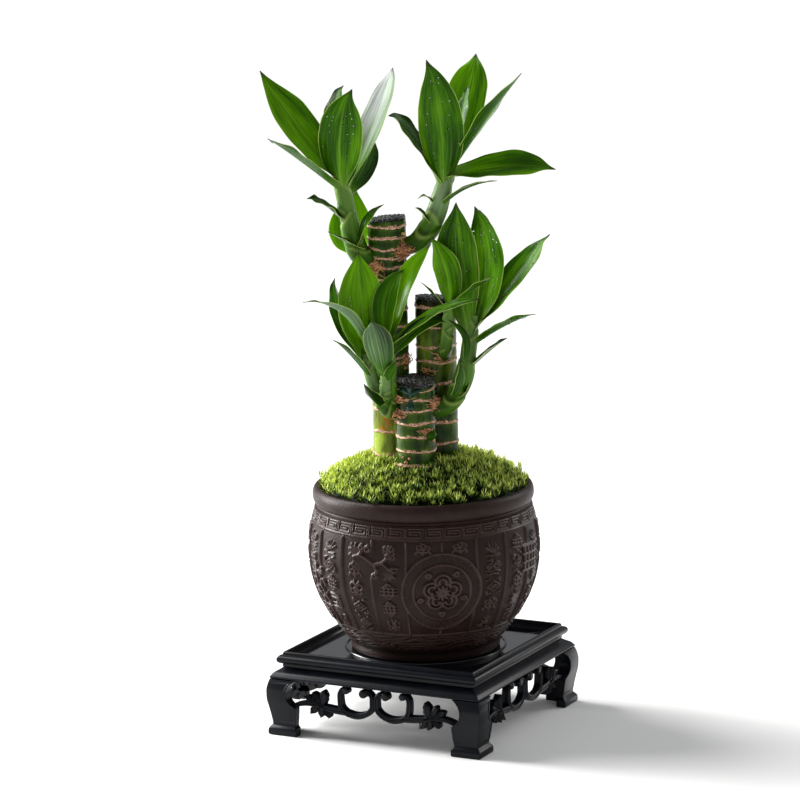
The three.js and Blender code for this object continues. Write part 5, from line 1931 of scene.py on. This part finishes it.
@dataclass
class Plant:
    """Canes, their wax, the leafy shoots and the small growths on them."""

    bark: CaneBark = field(default_factory=CaneBark)
    wax: Wax = field(default_factory=Wax)
    green_wax: GreenWax = field(default_factory=GreenWax)
    skin: LeafSkin = field(default_factory=LeafSkin)
    husk: Husk = field(default_factory=Husk)
    water: Water = field(default_factory=Water)
    # Tangles of fibre where shoots leave the canes: cane, turn from the front, height, spread, count, lift
    tangles: tuple = (
        (TALL, 62, 349, 9, 70, 2.2), (TALL, 72, 351, 6, 60, 8.5), (TALL, -46, 338, 7.5, 60, 2.2),
        (TALL, -60, 338, 5, 24, 6), (TALL, 62, 269, 6, 22, 2.2), (SHORT, -66, 234, 6, 26, 2.2),
        (SHORT, -76, 234, 4.5, 18, 6), (SHORT, 70, 240, 6, 30, 2.2), (SHORT, 76, 240, 5, 24, 6),
        (MIDDLE, 20, 272, 5, 20, 2.2), (SHORT, 26, 222, 4, 12, 2.2), (SHORT, -50, 245, 3.5, 12, 2.2),
        (TALL, 175, 330, 6, 14, 2.2), (MIDDLE, 170, 262, 5, 14, 2.2), (MIDDLE, -25, 262, 3, 8, 2.2),
    )
    stubs: tuple = (  # place and size
        (-12.4, -32.6, 199.6, 1.5), (-9.8, -33.6, 202.4, 1.2), (-14.5, -31.0, 203, 1.0),
        (3.2, -6.6, 261.5, 1.4), (5.0, -6.9, 259.5, 1.1), (17.6, -7.2, 224.0, 1.2),
        (21.5, -4.4, 222.6, 1.1), (-11.5, -3.4, 362, 1.3), (8.2, -27.4, 214.2, 1.4),
    )
    drip_radii: tuple = ((0, 2.2), (0.15, 1.6), (0.4, 1.1), (0.62, 1.4), (0.84, 2.9), (0.93, 2.6),
                         (0.98, 1.5), (1, 0.3))
    collar_radii: tuple = ((0, 0.4), (0.3, 1.5), (0.6, 1.9), (1, 0.4))

    def canes(self) -> None:
        """Build the canes and the wax on them."""
        for which, cane in CANES.items():
            cane.skin(self.bark, which.value)
            cane.seal(self.wax, which.value)

    def shoots(self) -> None:
        """Build the leafy shoots and the water drops on them."""
        drops = Surface()
        first = 0
        for shoot in SHOOTS:
            shoot.build(self.skin, drops, first)
            first += len(shoot.leaves)
        drops.piece("Water drops", self.water, "leaf", crease=180)

    def fibres(self) -> None:
        """Curled fibres that lie round the canes: lines on the cane's skin that stray and lift at random."""
        draw = np.random.default_rng(21)
        made = Surface()
        steps = 11
        share = np.linspace(0, 1, steps)
        for which, turn, height, spread, count, lift in self.tangles:
            cane = CANES[which]
            centre = cane.axis(height)
            for _ in range(count):
                wide = draw.uniform(-1, 1, 2) * spread / cane.radius
                tall = draw.normal(0, 0.35, 2) * spread
                angle = math.radians(turn) + wide[0] + share * (wide[1] - wide[0])
                angle = angle + 0.08 * np.cumsum(draw.normal(0, 1, steps))
                z = height + tall[0] + share * (tall[1] - tall[0]) + 0.6 * np.cumsum(draw.normal(0, 1, steps))
                out = cane.radius + 0.5 + draw.uniform(0, lift) * np.sin(share * np.pi)
                out = out + 0.15 * draw.normal(0, 1, steps)
                line = np.stack([centre[0] + out * np.sin(angle), centre[1] - out * np.cos(angle), z], axis=1)
                made.sweep(tube(line, draw.uniform(0.16, 0.42) * (1.05 - share * 0.6), 5))
        made.piece("Husk fibres", self.husk, "cane", crease=80)

    def bud(self) -> None:
        """A green bud in torn husk on the short cane, and root stubs on the canes."""
        green = Surface(LEAF_TRAITS)
        line = path([(4.2, -30.6, 217.5), (5.8, -33.2, 218.6), (7.6, -34.6, 221), (8.6, -34.9, 224)], 14)
        plump = [(0, 1.8), (0.3, 3.1), (0.6, 3.0), (0.82, 1.5), (0.93, 0.7), (1, 0.3)]
        green.sweep(tube(line, curve(plump, np.linspace(0, 1, 14)), 16), tone=0.22, across=0.5)
        green.piece("Bud", self.skin, "leaf")
        stubs = Surface()
        for x, y, z, size in self.stubs:
            out = unit(np.array([x, y + 10, 2.0]))
            line = np.array([x, y, z]) + np.linspace(-1, 1, 7)[:, None] * out * size
            stubs.sweep(tube(line, size * np.sqrt(np.linspace(1, 0.02, 7)), 9))
        stubs.piece("Root stubs", self.husk, "cane")

    def drip(self) -> None:
        """A collar of green wax under the short cane's cut, and a run down its skin that ends in a bead."""
        made = Surface()
        cane = CANES[SHORT]
        t = np.linspace(0, 1, 26)
        turn = np.radians(-17 + 4 * np.sin(t * 3.2))
        out = cane.radius + 0.35
        line = [cane.foot[0] + out * np.sin(turn), cane.foot[1] - out * np.cos(turn), 254.6 - 17.2 * t]
        made.sweep(tube(np.stack(line, axis=1), curve(self.drip_radii, t), 14))
        t = np.linspace(0, 1, 30)
        turn = np.radians(-58 + 80 * t)
        out = cane.radius + 0.1
        z = 253.6 - cane.slope[1] * out * np.cos(turn) + 0.9 * np.sin(turn * 7)
        line = [cane.foot[0] + out * np.sin(turn), cane.foot[1] - out * np.cos(turn), z]
        made.sweep(tube(np.stack(line, axis=1), curve(self.collar_radii, t), 10))
        made.piece("Run of wax", self.green_wax, "black_wax")

    def build(self) -> None:
        """Build the whole plant."""
        self.canes()
        self.shoots()
        self.fibres()
        self.bud()
        self.drip()


# Studio


class Light(Enum):
    """Kinds of light: even, far daylight or a square, soft panel."""

    DAY = "SUN"
    PANEL = "AREA"


@dataclass(frozen=True)
class Studio:
    """Floor, soft light and the camera at the photograph's angle."""

    azimuth: float = 26.84
    elevation: float = 11.37
    distance: float = 2919.6
    sideways: float = -14.2
    aim_height: float = 239.1
    roll: float = -1.06
    lens: float = 180.85
    floor: str = "#f4f4f2"
    floor_half: float = 60.0  # metres, so that no edge of it shows

    def camera(self) -> None:
        """Place the camera: back vector (sin a cos e, -cos a cos e, sin e), rolled about the view line."""
        a, e, roll = (math.radians(v) for v in (self.azimuth, self.elevation, self.roll))
        back = np.array([math.sin(a) * math.cos(e), -math.cos(a) * math.cos(e), math.sin(e)])
        flat = np.array([math.cos(a), math.sin(a), 0.0])
        over = np.cross(back, flat)
        right = math.cos(roll) * flat + math.sin(roll) * over
        up = np.cross(back, right)
        place = (flat * self.sideways + np.array([0, 0, self.aim_height]) + back * self.distance) * MM
        data = bpy.data.cameras.new("Camera")
        data.lens = self.lens
        data.sensor_width = 36
        data.clip_end = 100
        camera = bpy.data.objects.new("Camera", data)
        matrix = np.eye(4)
        matrix[:3, :3] = np.stack([right, up, back], axis=1)
        matrix[:3, 3] = place
        camera.matrix_world = matrix.T.tolist()
        bpy.context.collection.objects.link(camera)
        bpy.context.scene.camera = camera

    def surroundings(self) -> None:
        """Pale floor and an even, pale sky."""
        mesh = bpy.data.meshes.new("Floor")
        far = self.floor_half
        mesh.from_pydata([(-far, -far, 0), (far, -far, 0), (far, far, 0), (-far, far, 0)], [], [(0, 1, 2, 3)])
        material = bpy.data.materials.new("Matt white studio floor")
        material.use_nodes = True
        tree = material.node_tree
        tree.nodes.clear()
        shader = add_node(tree, "ShaderNodeBsdfDiffuse", {"Color": linear(self.floor)})
        add_node(tree, "ShaderNodeOutputMaterial", {"Surface": shader.outputs[0]})
        mesh.materials.append(material)
        floor = bpy.data.objects.new("Floor", mesh)
        bpy.context.collection.objects.link(floor)
        world = bpy.data.worlds.new("Sky")
        world.use_nodes = True
        world.node_tree.nodes.clear()
        pale = {"Color": linear("#f6f8fb"), "Strength": 0.32}
        sky = add_node(world.node_tree, "ShaderNodeBackground", pale)
        add_node(world.node_tree, "ShaderNodeOutputWorld", {"Surface": sky.outputs[0]})
        bpy.context.scene.world = world

    def aside(self, right: float, away: float, up: float) -> Point:
        """A place or direction given as the camera sees it: to its right, away from it and up."""
        angle = math.radians(self.azimuth)
        return tuple(turned(np.array([right, away, up]), math.cos(angle), math.sin(angle)))

    def hang(self, name: str, kind: Light, place: Point, aim: Point, **settings: float) -> None:
        """Add a light that looks at a point.

        Args:
            name: the light's name.
            kind: its kind.
            place: its place in metres; only the direction counts for daylight.
            aim: the point it looks at.
            settings: its strength and its size or angle.
        """
        data = bpy.data.lights.new(name, kind.value)
        for key, value in settings.items():
            setattr(data, key, value)
        lamp = bpy.data.objects.new(name, data)
        back = unit(np.array(place, float) - np.array(aim, float))
        right = unit(np.cross([0, 0, 1], back))
        matrix = np.eye(4)
        matrix[:3, :3] = np.stack([right, np.cross(back, right), back], axis=1)
        matrix[:3, 3] = place
        lamp.matrix_world = matrix.T.tolist()
        bpy.context.collection.objects.link(lamp)

    def build(self) -> None:
        """Place camera, lights and surroundings."""
        self.camera()
        self.surroundings()
        day = unit(np.array(self.aside(-0.9, 0.42, 0.85))) * 3
        right, left = self.aside(1.5, 0.7, 0.9), self.aside(-1.5, 0.6, 0.5)
        self.hang("Day from the left", Light.DAY, day, (0, 0, 0), energy=3.2, angle=math.radians(30))
        self.hang("Panel right", Light.PANEL, right, (0, 0, 0.25), energy=9, size=0.8)
        self.hang("Panel left", Light.PANEL, left, (0, 0, 0.2), energy=34, size=0.6)
        view = bpy.context.scene.view_settings
        view.view_transform = "Standard"
        view.look = "None"
        view.exposure = 0.24


def main() -> None:
    """Build the stand, the pot, the ground, the plant and the studio in order."""
    logging.basicConfig(level=logging.INFO, format="%(message)s")
    Stand().build()
    Pot().build()
    Ground().build()
    Plant().build()
    Studio().build()


if __name__ == "__main__":
    main()
